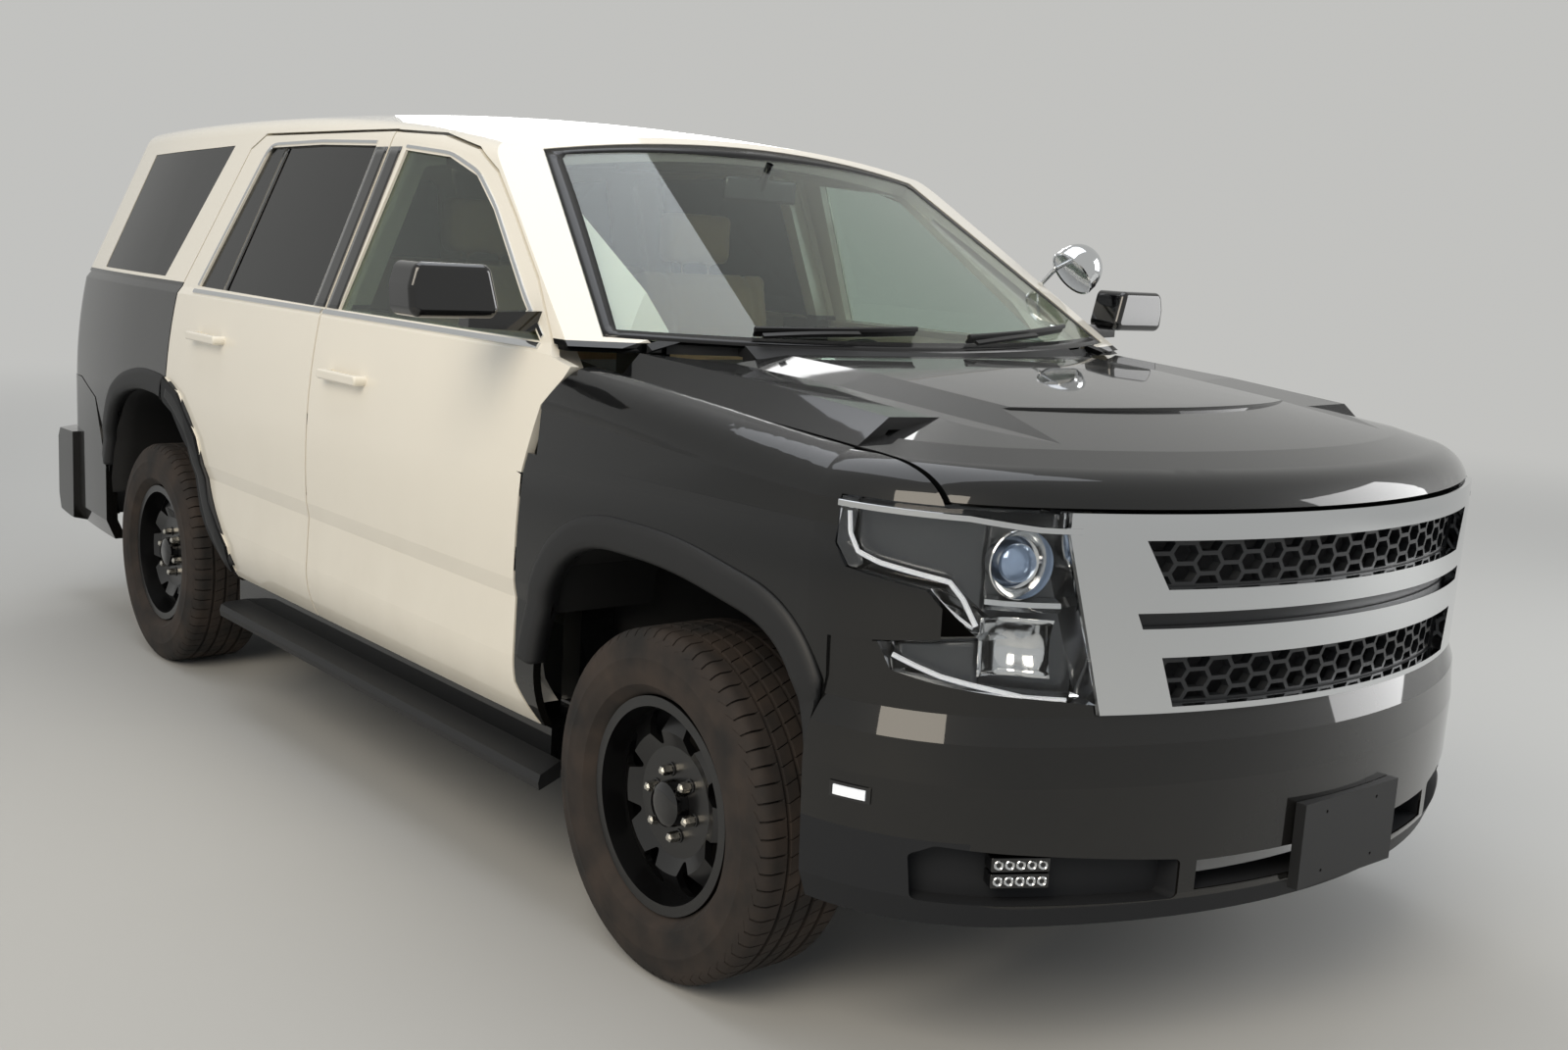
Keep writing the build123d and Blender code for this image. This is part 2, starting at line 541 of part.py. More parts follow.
FENDER_T = 20.0
RAIL_IN, RAIL_OUT = 400.0, 500.0   # the chassis rails' two sides
SHUT_X = 859.0                 # the seam between the hood and each fender
CAP = [(-7, 1040), (-5, 1088), (-30, 1135, ARC), (-90, 1168), (-170, 1190), (-430, 1237)]
SKIN_FENDER = [SILL_TOP, (-18.0, 470.0, ARC), LOWER_TURN, CREASE_LOW, CREASE_TOP, (0.0, 900.0, ARC), (-7.0, 1040.0)]
SHOULDER_SECTIONS = [          # y, straight top (n, z), arc middle (n, z), arc end (n, z), top middle (n, z), seam z
    (-1104.0, (-16, 1140), (-25, 1212), (-50, 1246), (-92, 1250), 1236),
    (-1400.0, (-13, 1125), (-24, 1190), (-62, 1222), (-102, 1227), 1212),
    (-1720.0, (-9, 1105), (-28, 1160), (-75, 1192), (-100, 1197), 1190),
    (corner_end[1], (-6, 1088), (-30, 1133), (-75, 1162), (-87, 1166), 1170),
]


def shoulder_loft(depth):
    """The fender's shoulder between its outer surface and depth below it. Its last section stands square to the plan."""
    sections = []
    for y, top, mid, end, over, seam_z in SHOULDER_SECTIONS:
        edge_x = plan_x(y)
        turn = SIDE_TOE if y == corner_end[1] else 0.0
        lean = Rot(0, 0, -turn)
        outer = [(edge_x - 7.6, 1036), (edge_x + top[0], top[1]), (edge_x + mid[0], mid[1], ARC),
                 (edge_x + end[0], end[1]), (edge_x + over[0], over[1], ARC), (SHUT_X + GAP / 2, seam_z)]
        shifts = [(depth, 0), (depth, 0), (0.9 * depth, 0.4 * depth), (0.4 * depth, 0.9 * depth), (0, depth),
                  (0, depth)]
        inner = [(p[0] - s[0], p[1] - s[1], *p[2:]) for p, s in zip(outer, shifts)]
        face = Plane((0, 0, 0), x_dir=(1, 0, 0), z_dir=(0, -1, 0)) * Pos(-edge_x, 0, 0) * outline(outer + inner[::-1])
        sections.append(Pos(edge_x, y, 0) * lean * face)
    return loft(sections)


def seam_flange(depth):
    """The fender's vertical flange under its seam with the hood."""
    sections = []
    for y, top, mid, end, over, seam_z in SHOULDER_SECTIONS:
        x = SHUT_X + GAP / 2
        face = outline([(x, seam_z - 12), (x + 8, seam_z - 12), (x + 8, seam_z - depth), (x, seam_z - depth)])
        sections.append(Plane((0, y, 0), x_dir=(1, 0, 0), z_dir=(0, -1, 0)) * face)
    return loft(sections, ruled=True)


def cap_profile(depth):
    shifts = [(depth, 0), (depth, 0), (0.8 * depth, 0.5 * depth), (0.3 * depth, 0.95 * depth), (0, depth), (0, depth)]
    return [(p[0] - s[0], p[1] - s[1], *p[2:]) for p, s in zip(CAP, shifts)]


LAMP_FOOT = [(-2160, 843), (-2186, 795), (-2256, 779), (-2390, 757), (-2470, 737), (-2800, 732)]  # lower edge, (y, z)
HEADLAMP_SIDE = [(-2074, 1096), (-2068, 1010), (-2095, 972), (-2238, 950), (-2308, 864)]
HEADLAMP_SIDE += [(y, z + FIT) for y, z in LAMP_FOOT] + [(-2800, 1096)]
BUMPER_FRONT_SIDE = [(-2052, 200), (-2040, 640), (-2066, 760), (-2066, 838)] + LAMP_FOOT + [(-2800, 200)]
SEAM_FLANGE_DEPTH = 110.0
headlamp_zone = side_prism(outline(HEADLAMP_SIDE), 500)
headlamp_hole = side_prism(grown(HEADLAMP_SIDE, 3), 500)
bumper_hole = side_prism(grown(BUMPER_FRONT_SIDE, FIT), 300)
fender_low = ring(slab(SKIN_FENDER, 0, FENDER_T), "fore", "corner")
fender_corner = ring(outline(CAP[:4] + cap_profile(FENDER_T)[:4][::-1]), "corner")
fender = fender_low + shoulder_loft(FENDER_T) + fender_corner
fender = fender & block((SHUT_X + GAP / 2, -2330, DOOR_BOTTOM_Z), (1300, -1000, 1300))
fender = fender + seam_flange(SEAM_FLANGE_DEPTH)
fender = fender - headlamp_hole - bumper_hole - front_arch - side_prism(grown(FRONT_DOOR, GAP), 500)
keep("front_fenders", fender, mirrored(fender))

# Front structure: the apron rails that carry the fenders, the radiator panel and the bumper's mounts

first, last = SHOULDER_SECTIONS[0], SHOULDER_SECTIONS[-1]
drop = SEAM_FLANGE_DEPTH + FIT
APRON_SIDE = [(first[0], first[5] - drop), (first[0], first[5] - drop - 60), (-2060, last[5] - drop - 60),
              (-2060, last[5] - drop), (last[0], last[5] - drop)]
for section in SHOULDER_SECTIONS[2:0:-1]:
    APRON_SIDE.append((section[0], section[5] - drop))
apron = side_prism(outline(APRON_SIDE), 800, 871) - block((700, -1120 - FIT, 900), (900, -1000, 1300))
PANEL_Y = -2320.0
apron = apron + seen_from_above(outline([(800, -2030), (868, -2030), (640, PANEL_Y + 10), (585, PANEL_Y + 10)]), 985, 1040)
apron = apron + block((600, PANEL_Y, 500 + FIT), (640, PANEL_Y + 30, 1040))
apron = apron + block((RAIL_IN, PANEL_Y, 500 + FIT), (601, PANEL_Y + 30, 560))
panel = both_sides(apron) + block((-605, PANEL_Y, 985), (605, PANEL_Y + 30, 1040))
panel = panel + block((-405, PANEL_Y, 515), (405, PANEL_Y + 30, 560))
radiator = block((-520, PANEL_Y, 560 + FIT), (520, PANEL_Y + 30, 985 - FIT))
keep("front_structure", panel, radiator)

# Hood: a crowned panel with a raised middle, rolled down over the nose, its rear edge following the windshield

HOOD_SECTIONS = [              # y, middle z, quarter point (x, z), bulge crease, valley, crest, seam z
    (-1180.0, 1301, (260, 1300), (520, 1297), (640, 1272), (822, 1281), 1226),
    (-1650.0, 1282, (250, 1280), (492, 1272), (600, 1246), (795, 1254), 1194),
    (-2100.0, 1247, (235, 1244), (462, 1234), (560, 1208), (768, 1216), 1168),
    (-2640.0, 1198, (220, 1195), (432, 1184), (520, 1160), (740, 1168), 1118),
]
HOOD_T = 24.0
HOOD_REAR = [(0, -1452), (450, -1390, ARC), (870, -1205)]
HOOD_EDGE_Z = 1106.0
HOOD_HINGE = (-1250.0, 1206.0)  # (y, z) of the hood's hinge axis
HOOD_HINGE_X = 800.0


def hood_volume(inset):
    sections = []
    for y, mid_z, quarter_point, bulge, valley, crest, seam_z in HOOD_SECTIONS:
        edge = SHUT_X - GAP / 2 - inset
        points = [(0, 900), (0, mid_z), (*quarter_point, ARC), bulge, valley, crest]
        points = points[:1] + [(p[0], p[1] - inset, *p[2:]) for p in points[1:]]
        points += [(edge, seam_z - inset), (edge, 900)]
        sections.append(Plane((0, y, 0), x_dir=(1, 0, 0), z_dir=(0, -1, 0)) * outline(points))
    body = loft(sections, ruled=True)
    cutter = outline([(500, 850), (-7 - inset, 850)] + cap_profile(inset) + [(-430, 1700), (500, 1700)])
    return body - ring(cutter, "nose", "corner")


hood_plan = seen_from_above(outline([(-1, -2700), (-1, HOOD_REAR[0][1]), HOOD_REAR[1], HOOD_REAR[2], (870, -2700)]), 1000, 1400)
hood_skirt = side_prism(outline([(-1000, 900), (-1000, 1181), (-1180, 1181), (-1650, 1149), (-2100, 1123), (-2260, 1106),
                                 (-2260, 900)]), -5, 900)
hood_half = (hood_volume(0) - hood_volume(HOOD_T) - hood_skirt) & hood_plan & block((-1, -2700, HOOD_EDGE_Z), (SHUT_X, -1000, 1400))
hood_leaf = block((HOOD_HINGE_X - 8, HOOD_HINGE[0] - 7, HOOD_HINGE[1]), (HOOD_HINGE_X + 8, HOOD_HINGE[0] + 7, 1256))
hood_leaf = hood_leaf + Pos(HOOD_HINGE_X, *HOOD_HINGE) * Rot(0, 90, 0) * Cylinder(10, 16)
hood_leaf = hood_leaf + Pos(HOOD_HINGE_X, *HOOD_HINGE) * Rot(0, 90, 0) * Cylinder(HINGE_PIN_R, 44)
keep("hood", both_sides(hood_half + hood_leaf))
hood_bracket = (block((HOOD_HINGE_X - 22, HOOD_HINGE[0] - 12, 1085), (HOOD_HINGE_X - 9, HOOD_HINGE[0] + 12, HOOD_HINGE[1] + 8))
                + block((HOOD_HINGE_X + 9, HOOD_HINGE[0] - 12, 1085), (HOOD_HINGE_X + 22, HOOD_HINGE[0] + 12, HOOD_HINGE[1] + 8))
                + block((HOOD_HINGE_X - 22, HOOD_HINGE[0] - 12, 1085), (HOOD_HINGE_X + 22, HOOD_HINGE[0] + 12, 1150)))
hood_bracket = hood_bracket - Pos(HOOD_HINGE_X, *HOOD_HINGE) * Rot(0, 90, 0) * Cylinder(HINGE_PIN_R + PIN_CLEARANCE, 60)
hood_bracket = hood_bracket - both_sides(apron)
keep("hood_brackets", hood_bracket, mirrored(hood_bracket))

# Front bumper, grille and headlamps on the nose

bumper_profile = outline([(-60, 332), (-4, 332), (BUMPER_PROUD - 2, 385), (BUMPER_PROUD, 600), (BUMPER_PROUD - 7, 676),
                          (-12, 731), (-60, 731)])
bumper_cheek = ring(outline([(-60, 725), (-9.5, 725), (-6, 845), (-60, 845)]), "nose", "corner")
bumper_cheek = bumper_cheek - rear_prism(outline([(-1, 700), (606.5, 700), (640, 838), (-1, 838)]), -2800, -2300)
front_bumper = ring(bumper_profile, "nose", "corner") + bumper_cheek
front_bumper = front_bumper & side_prism(outline(BUMPER_FRONT_SIDE), -1)
POCKET_N = -34.0               # floor of the bumper's lamp pockets
FOG_POCKET = [(438, 374), (886, 381), (892, 466), (862, 487), (438, 452)]
INTAKE = [(-1, 388), (402, 388), (402, 446), (-1, 446)]
pocket_depth = ring(outline([(POCKET_N, 300), (80, 300), (80, 560), (POCKET_N, 560)]), "nose", "corner")
fog_pocket = pocket_depth & rear_prism(outline(FOG_POCKET, 12), -2800, -1900)
intake = rear_prism(outline(INTAKE), -2800, -2400)
RAIL_FRONT_Y, RAIL_REAR_Y = -2400.0, 2380.0
bumper_mount = block((RAIL_IN, -2475, 410), (RAIL_OUT, RAIL_FRONT_Y - FIT, 490)) - ring(outline([(-30, 300), (80, 300), (80, 800), (-30, 800)]), "nose")
PLATE_HOLES = (177.8, 120.65)  # the number plate's standard hole spacing, across and up
PLATE_Z = 446.0
plate_mount = block((-165, -LENGTH / 2, PLATE_Z - 86), (165, NOSE_Y, PLATE_Z + 86))
plate_mount = plate_mount - both_sides(ring(outline([(-90, 250), (BUMPER_PROUD + FIT, 250), (BUMPER_PROUD + FIT, 700), (-90, 700)]), "nose"))
for x in (-PLATE_HOLES[0] / 2, PLATE_HOLES[0] / 2):
    for z in (-PLATE_HOLES[1] / 2, PLATE_HOLES[1] / 2):
        plate_mount = plate_mount - Pos(x, -LENGTH / 2, PLATE_Z + z) * Rot(90, 0, 0) * Cylinder(3.5, 60)
keep("front_bumper", both_sides(front_bumper + bumper_mount - fog_pocket - intake))
FOG_TURN = 29.0                # where the stacked lamps stand on the nose's arc, in degrees from its middle
for z in (424.0, 455.0):
    lamp_spot = Pos(*on_circle(nose_centre, NOSE_R + POCKET_N + FIT, FOG_TURN), z) * Rot(0, 0, FOG_TURN)
    pod = fillet((lamp_spot * block((-56, -40, -14), (56, 0, 14))).edges(), 3)
    keep("fog_lamps", pod, mirrored(pod))
keep("plate_bracket", plate_mount)
grille_zone = rear_prism(outline([(-1, 731 + FIT), (612, 731 + FIT), (692, 1060), (692, 1100), (-1, 1100)]), -2800, -2300)
UPPER_MESH = [(505, 962), (556, 1052)]
LOWER_MESH = [(474, 743), (505, 836)]
BAR_SLOT = [(548, 890), (560, 919)]
CELL_PITCH_X, CELL_PITCH_Z = 50.0, 38.0
CELL = [(-26.0, 0.0), (-16.5, 15.0), (16.5, 15.0), (26.0, 0.0), (16.5, -15.0), (-16.5, -15.0)]
LEAST_CELL = 120.0             # square millimetres of a cell cut short by the mesh's edge


def field_face(right_edge):
    """A face in (x, z) that is symmetric about x = 0, from its edge on the left-hand side of the car."""
    return outline(right_edge + [(-x, z) for x, z in reversed(right_edge)])


def honeycomb(right_edge):
    """Cutting prisms of staggered, flat-topped hexagons that fill an (x, z) field."""
    field = offset(field_face(right_edge), -4)
    box = field.bounding_box()
    prisms = []
    last_column = int(box.max.X / CELL_PITCH_X) + 1
    for column in range(-last_column, last_column + 1):
        x = column * CELL_PITCH_X
        first_z = box.min.Y + (CELL_PITCH_Z / 2 if column % 2 else 0)
        for row in range(int(box.size.Y / CELL_PITCH_Z) + 2):
            cell = field & outline([(x + px, first_z + row * CELL_PITCH_Z + pz) for px, pz in CELL])
            if cell and cell.area > LEAST_CELL:
                prisms.append(rear_prism(cell, -2800, -2300))
    return prisms


grille_plate = ring(slab([(0, 731), (2, 1100)], 0, 45), "nose", "corner") & grille_zone
grille_deep = both_sides(ring(slab([(0, 700), (2, 1130)], -5, 28), "nose", "corner"))
grille = both_sides(grille_plate)
for edge in (UPPER_MESH, LOWER_MESH, BAR_SLOT):
    grille = grille - (grille_deep & rear_prism(field_face(edge), -2800, -2300))
grille = grille - (honeycomb(UPPER_MESH) + honeycomb(LOWER_MESH))
keep("grille", grille)
headlamp = ring(outline([(-5, 735), (-7, 1040), (-5, 1088), (-10, 1104), (-70, 1104), (-70, 735)]), "nose", "corner")
headlamp = headlamp & headlamp_zone
headlamp = headlamp - rear_prism(outline([(-1, 700), (604, 700), (696, 1060), (696, 1200), (-1, 1200)]), -2800, -2300)
headlamp = headlamp & block((0, -2800, 700), (1300, -1900, 1098))
keep("headlamps", headlamp, mirrored(headlamp))

# Rear bumper and lamps

rear_profile = outline([(-50, 330), (TAIL_PROUD - 15, 360), (TAIL_PROUD, 420), (TAIL_PROUD, 640),
                        (TAIL_PROUD - 15, 675), (-50, 680)])
rear_bumper = ring(rear_profile, "heel", "tail") & block((0, 2000, 300), (HALF_WIDTH - 8, 2700, 700))
wrap = ring(slab([(-30, 330), (0, 400), (2, 893)], 0, 40), "aft", "heel") & side_prism(outline(BUMPER_SIDE), 300)
wrap = (wrap - gate_zone(GAP) - rear_arch) & block((500, 1850, 330), (1300, 2700, 893))
rear_mount = block((RAIL_IN, RAIL_REAR_Y + FIT, 430), (RAIL_OUT, 2460, 525))
rear_bumper = both_sides(rear_bumper + wrap + rear_mount) - block((-44, 2300, 300), (44, 2800, 462))
keep("rear_bumper", rear_bumper)
tail_lamp = ring(slab([(3, 930), (0, 1080), (-38, 1262)], 0, 60), "aft", "heel", "tail")
tail_lamp = (tail_lamp & side_prism(outline(LAMP_SIDE), 640)) - gate_zone(GAP)
keep("tail_lamps", tail_lamp, mirrored(tail_lamp))

# Wheel arch flares, and each rear door's share of one

FLARE_GROW = 72.0
FLARE_PROUD = 15.0


def flare(arch, stretches, keep_box):
    band = side_prism(grown(arch, FLARE_GROW), 500) - side_prism(outline(arch), 400)
    layer = ring(slab(SKIN_FENDER, -FLARE_PROUD, -FIT), *stretches)
    return (layer & band) & keep_box


front_flare = flare(FRONT_ARCH, ("fore", "corner"), block((0, -2060, 560), (1300, -1110, 1000)))
front_flare = front_flare - side_prism(grown(FRONT_DOOR, GAP), 500) - side_prism(grown(BUMPER_FRONT_SIDE, 3), 500)
rear_flare = flare(REAR_ARCH, ("mid", "aft"), block((0, 1228, 600), (1300, 1900, 1030)))
rear_flare = rear_flare - side_prism(grown(REAR_DOOR, GAP), 500) - side_prism(grown(BUMPER_SIDE, 3), 300)
keep("fender_flares", front_flare, mirrored(front_flare), rear_flare, mirrored(rear_flare))
door_flare = flare(REAR_ARCH, ("mid",), block((0, 690, 430), (1300, 1300, 1030))) & side_prism(outline(REAR_DOOR), 690)
for tag, body, pane in (("front", front_door, front_pane), ("rear", rear_door, rear_pane)):
    keep(f"door_{tag}_left", body)
    keep(f"door_{tag}_right", mirrored(body))
    keep(f"door_{tag}_left_glass", pane)
    keep(f"door_{tag}_right_glass", mirrored(pane))
keep("door_rear_left", door_flare)
keep("door_rear_right", mirrored(door_flare))

# Spotlight on the driver's windshield pillar, its lens turned in and down


def rod(start, end, radius):
    """A round bar between two points."""
    reach = Vector(*end) - Vector(*start)
    return extrude(Plane(start, z_dir=reach) * Circle(radius), reach.length)


SPOT_CENTRE = (982.0, -926.0, 1509.0)
SPOT_FACE = (-0.72, 0.16, -0.60)   # the way that the lens faces
SPOT_R = 76.0
spot_profile = [(0, -78), (50, -60, ARC), (SPOT_R - 3, -4), (SPOT_R, -4), (SPOT_R, 10), (SPOT_R - 6, 14), (0, 20)]
spot_head = revolve(Plane.XZ * outline(spot_profile), Axis.Z, 360)
spot_head = Plane(SPOT_CENTRE, z_dir=SPOT_FACE).location * spot_head
spot_elbow = (1000, -832, 1512)
spot_arm = rod((850, -904, 1459), spot_elbow, 8) - cabin(-FIT) + rod(spot_elbow, (1010, -900, 1532), 8)
spot_arm = spot_arm + Pos(*spot_elbow) * Sphere(9)
keep("spotlight", spot_head + spot_arm)

# Running boards

board_profile = outline([(SILL_OUT + FIT, 300), (HALF_WIDTH + 25, 300), (HALF_WIDTH + 30, 318), (HALF_WIDTH + 22, 335),
                         (SILL_OUT + FIT, 340)])
board = seen_from_front(board_profile, -1230, 690)
board = board & seen_from_above(outline([(900, -1160), (SILL_OUT + FIT, -1165), (HALF_WIDTH, -1205), (HALF_WIDTH + 40, -1228),
                                         (HALF_WIDTH + 40, 655), (HALF_WIDTH, 690), (900, 690)]), 200, 400)
keep("running_boards", board, mirrored(board))

# Chassis frame

RAIL_SIDE = [(RAIL_FRONT_Y, 500), (RAIL_FRONT_Y, 400), (-1250, 400), (-1050, 310), (650, 310), (850, 470), (1900, 470),
             (RAIL_REAR_Y, 420), (RAIL_REAR_Y, 530), (1900, 580), (900, 580), (660, 430), (-1000, 430), (-1200, 500)]
rail = side_prism(outline(RAIL_SIDE), RAIL_IN, RAIL_OUT)
CROSSMEMBERS = [               # y, low z, high z
    (-2360.0, 415.0, 485.0),
    (-1180.0, 320.0, 375.0),
    (-300.0, 330.0, 400.0),
    (640.0, 312.0, 385.0),
    (1560.0, 490.0, 560.0),
    (2340.0, 440.0, 520.0),
]
MOUNT_Y = (-1000.0, -200.0, 600.0)
frame = both_sides(rail)
for y, low_z, high_z in CROSSMEMBERS:
    frame = frame + block((-RAIL_IN - 10, y - 40, low_z), (RAIL_IN + 10, y + 40, high_z))
frame = frame + both_sides(block((RAIL_IN + 10, -1220, 320), (RAIL_OUT - 10, -1140, 420)))
receiver = block((-38, 2330, 380), (38, 2560, 456)) - block((-25.5, 2320, 392.5), (25.5, 2600, 443.5))
frame = frame + receiver
for y in MOUNT_Y:
    frame = frame + both_sides(block((RAIL_OUT - 5, y - 40, 360), (RAIL_OUT + 110, y + 40, 400)))
keep("chassis_frame", frame)

# Floor, firewall and cowl

FLOOR_Z = 580.0
CARGO_Z = 770.0
floor = block((-769.7, -1062, FLOOR_Z - 20), (769.7, 740, FLOOR_Z)) + block((-671.7, 740, FLOOR_Z - 20), (671.7, 860, FLOOR_Z))
floor = floor + block((-671.7, 840, FLOOR_Z - 10), (671.7, 860, CARGO_Z)) + block((-671.7, 850, CARGO_Z - 20), (671.7, 2330, CARGO_Z))
floor = floor + block((-777.7, -1082, FLOOR_Z - 20), (777.7, -1062, 1130))
floor = floor + block((-180, -1070, FLOOR_Z - 5), (180, -300, 700)) - block((-160, -1100, FLOOR_Z - 30), (160, -320, 680))
floor = floor + both_sides(block((749, -1082, SILL_Z + 20), (769.7, 740, FLOOR_Z - 10)))
floor = floor + block((-671.7, 2310, 560), (671.7, 2330, CARGO_Z))
for y in MOUNT_Y:
    floor = floor + both_sides(Pos(RAIL_OUT + 60, y, (400 + FIT + FLOOR_Z - 10) / 2) * Cylinder(32, FLOOR_Z - 10 - 400 - FIT))
floor = floor + both_sides(block((RAIL_IN + 20, 1500, 580 + FIT), (RAIL_OUT - 20, 1700, CARGO_Z - 10)))
keep("floor_pan", floor)

ledge = (cabin_skin - cabin_wall - screen_prism(-16) - screen_seat) & block((-1, -1600, BELT_Z - 12), (1300, -1195 - FIT, 1345))
ledge = ledge - block((780, -1300, 1200), (1300, -1100, 1400))
cowl_plan = outline([(0, -1440), (430, -1385, ARC), (770, -1240), (770, -1120), (0, -1120)])
COWL_TOP = 1216.0
cowl = seen_from_above(cowl_plan, COWL_TOP - 12, COWL_TOP)
cowl = cowl + block((0, -1140, 1130.3), (770, -1084, 1240)) + block((0, -1100, 1130.3), (699.7, -1064, 1240))
cowl_wall = seen_from_above(outline([(0, -1404), (430, -1350, ARC), (770, -1222), (770, -1195),
                                     (430, -1310, ARC), (0, -1364)]), COWL_TOP - 6, 1290)
cowl_wall = cowl_wall & (block((0, -1500, 1200), (1300, -1100, 1273.5)) + cabin(9))
# The hood's rear corners turn back and down as it opens
hood_sweep = Pos(675, *HOOD_HINGE) * Rot(0, 90, 0) * Cone(134, 78, 230)
sweep_plan = outline([(540, -1400), (540, -1262), (700, -1214), (800, -1178), (800, -1400)])
cowl = cowl + cowl_wall + ledge - (hood_sweep & seen_from_above(sweep_plan, COWL_TOP + 1, 1400))
cowl = cowl - block((699.7, -1205, 990), (1300, -1000, 1310))
keep("cowl", both_sides(cowl))

# Engine and transmission

engine = block((-270, -2080, 560), (270, -1420, 1020)) + block((-160, -1421, 520), (160, -1120, 800))
engine = engine + both_sides(block((269, -1800, 600), (440, -1700, 640)) + block((410, -1800, 500 + FIT), (440, -1700, 640)))
keep("engine", engine)
transmission = seen_from_front(Pos(0, 520) * Circle(135), -1120 + FIT, -500) + seen_from_front(Pos(0, 520) * Circle(38), -505, -270)
transmission = transmission + block((-50, -330, 400 + FIT), (50, -275, 500))
keep("transmission", transmission)

# Cabin furniture

dash_face = outline([(-1062 + FIT, 820), (-1062 + FIT, 1125), (-1010, 1200), (-800, 1225), (-700, 1170), (-690, 1050),
                     (-760, 900), (-900, 820)])
dash = side_prism(dash_face, -699.4, 699.4)
WHEEL_CENTRE = (395.0, -560.0, 1085.0)
WHEEL_LEAN = 24.0              # degrees that the steering axis drops toward the front
axis_dir = (0, -cos(radians(WHEEL_LEAN)), -sin(radians(WHEEL_LEAN)))
wheel_plane = Plane(WHEEL_CENTRE, x_dir=(1, 0, 0), z_dir=axis_dir)
dash = dash - extrude(wheel_plane * Pos(0, 0, 40) * Circle(42 + FIT), 480)
keep("dashboard", dash)
column = extrude(wheel_plane * Pos(0, 0, 60) * Circle(42), 400) & block((200, -1062 + FIT, 700), (600, -400, 1300))
column = column - extrude(wheel_plane * Pos(0, 0, 50) * Circle(14.05), 160)
keep("steering_column", column)
hub = extrude(wheel_plane * Circle(62), 40) + extrude(wheel_plane * Pos(0, 0, 39) * Circle(14), 130)
steering_wheel = wheel_plane * Torus(185, 16) + hub
for turn in (0, 180, 90):
    steering_wheel = steering_wheel + extrude(wheel_plane * Rot(0, 0, turn) * Pos(118, 0, 8) * Rectangle(134, 38), 12)
keep("steering_wheel", steering_wheel)
console = block((-120, -688, 700 + FIT), (120, -304, 900)) + block((-120, -299.7, FLOOR_Z + FIT), (120, -100, 900))
console = console + block((-120, -310, 720), (120, -290, 900))
keep("console", console)

SEAT_SIDE = [(-330, 200), (-330, 300), (-250, 330), (60, 300), (225, 870), (330, 850), (190, 240), (120, 170), (-280, 170)]
seat_face = outline(SEAT_SIDE, 30)
for x in (-395.0, 395.0):
    spot = Pos(x, -80, FLOOR_Z + FIT)
    keep("front_seats", spot * (side_prism(seat_face, -255, 255) + block((-190, -230, 0), (190, 70, 175))))
    head = fillet((spot * block((-130, 255, 895), (130, 355, 1060))).edges(), 25)
    keep("front_seats", head + spot * both_sides(block((48, 290, 840), (62, 304, 900))))
rear_seat = side_prism(seat_face, -640, 640) + block((-560, -230, 0), (560, 70, 175))
keep("rear_seat", Pos(0, 600, FLOOR_Z + FIT) * rear_seat)

# Wheels

RIM_R = 216.0
RIM_W = 215.0
TREAD_HALF = 97.0
WINDOW_COUNT = 8


def tyre():
    half = TYRE_W / 2
    seat_r = RIM_R + FIT
    bead_r = RIM_R + 14 + 2 * FIT
    profile = [(seat_r, -RIM_W / 2 + 8), (bead_r, -RIM_W / 2 + 8), (RIM_R + 36, -half + 8), (290, -half, ARC), (TYRE_R - 22, -half + 12),
               (TYRE_R, -TREAD_HALF), (TYRE_R, TREAD_HALF), (TYRE_R - 22, half - 12), (290, half, ARC),
               (RIM_R + 36, half - 8), (bead_r, RIM_W / 2 - 8), (seat_r, RIM_W / 2 - 8), (seat_r + 8, RIM_W / 2 - 28),
               (seat_r + 8, -RIM_W / 2 + 28)]
    return revolve(Plane.XZ * outline(profile), Axis.Z, 360)


def rim():
    """A pressed steel wheel about Z, its outer side at +Z: barrel, dished disc with triangular windows, hub."""
    edge = RIM_W / 2
    barrel = [(RIM_R, -edge + 7), (RIM_R + 14, -edge + 5), (RIM_R + 14, -edge), (RIM_R - 8, -edge), (RIM_R - 8, edge),
              (RIM_R + 14, edge), (RIM_R + 14, edge - 5), (RIM_R, edge - 7)]
    disc = [(38, 62), (38, 46), (120, 38), (150, 62), (190, 40), (RIM_R - 4, 30), (RIM_R - 4, 44), (192, 54),
            (152, 78), (118, 62)]
    plate = revolve(Plane.XZ * outline(disc), Axis.Z, 360)
    window = extrude(Plane.XY * outline([(118, 0), (178, -40), (197, -34), (203, 0), (197, 34), (178, 40)], 8), 120)
    for index in range(WINDOW_COUNT):
        plate = plate - Rot(0, 0, 360 / WINDOW_COUNT * (index + 0.5)) * window
    return revolve(Plane.XZ * outline(barrel), Axis.Z, 360) + plate


wheel_tyre, wheel_rim = tyre(), rim()
HUB_R = 37.9
for tag, x, y in (("front_left", HALF_TRACK, FRONT_AXLE_Y), ("front_right", -HALF_TRACK, FRONT_AXLE_Y),
                  ("rear_left", HALF_TRACK, REAR_AXLE_Y), ("rear_right", -HALF_TRACK, REAR_AXLE_Y)):
    turn = Rot(0, 90 if x > 0 else -90, 0)
    keep(f"wheel_{tag}_tyre", Pos(x, y, TYRE_R) * turn * wheel_tyre)
    keep(f"wheel_{tag}_rim", Pos(x, y, TYRE_R) * turn * wheel_rim)

# Front suspension and knuckles

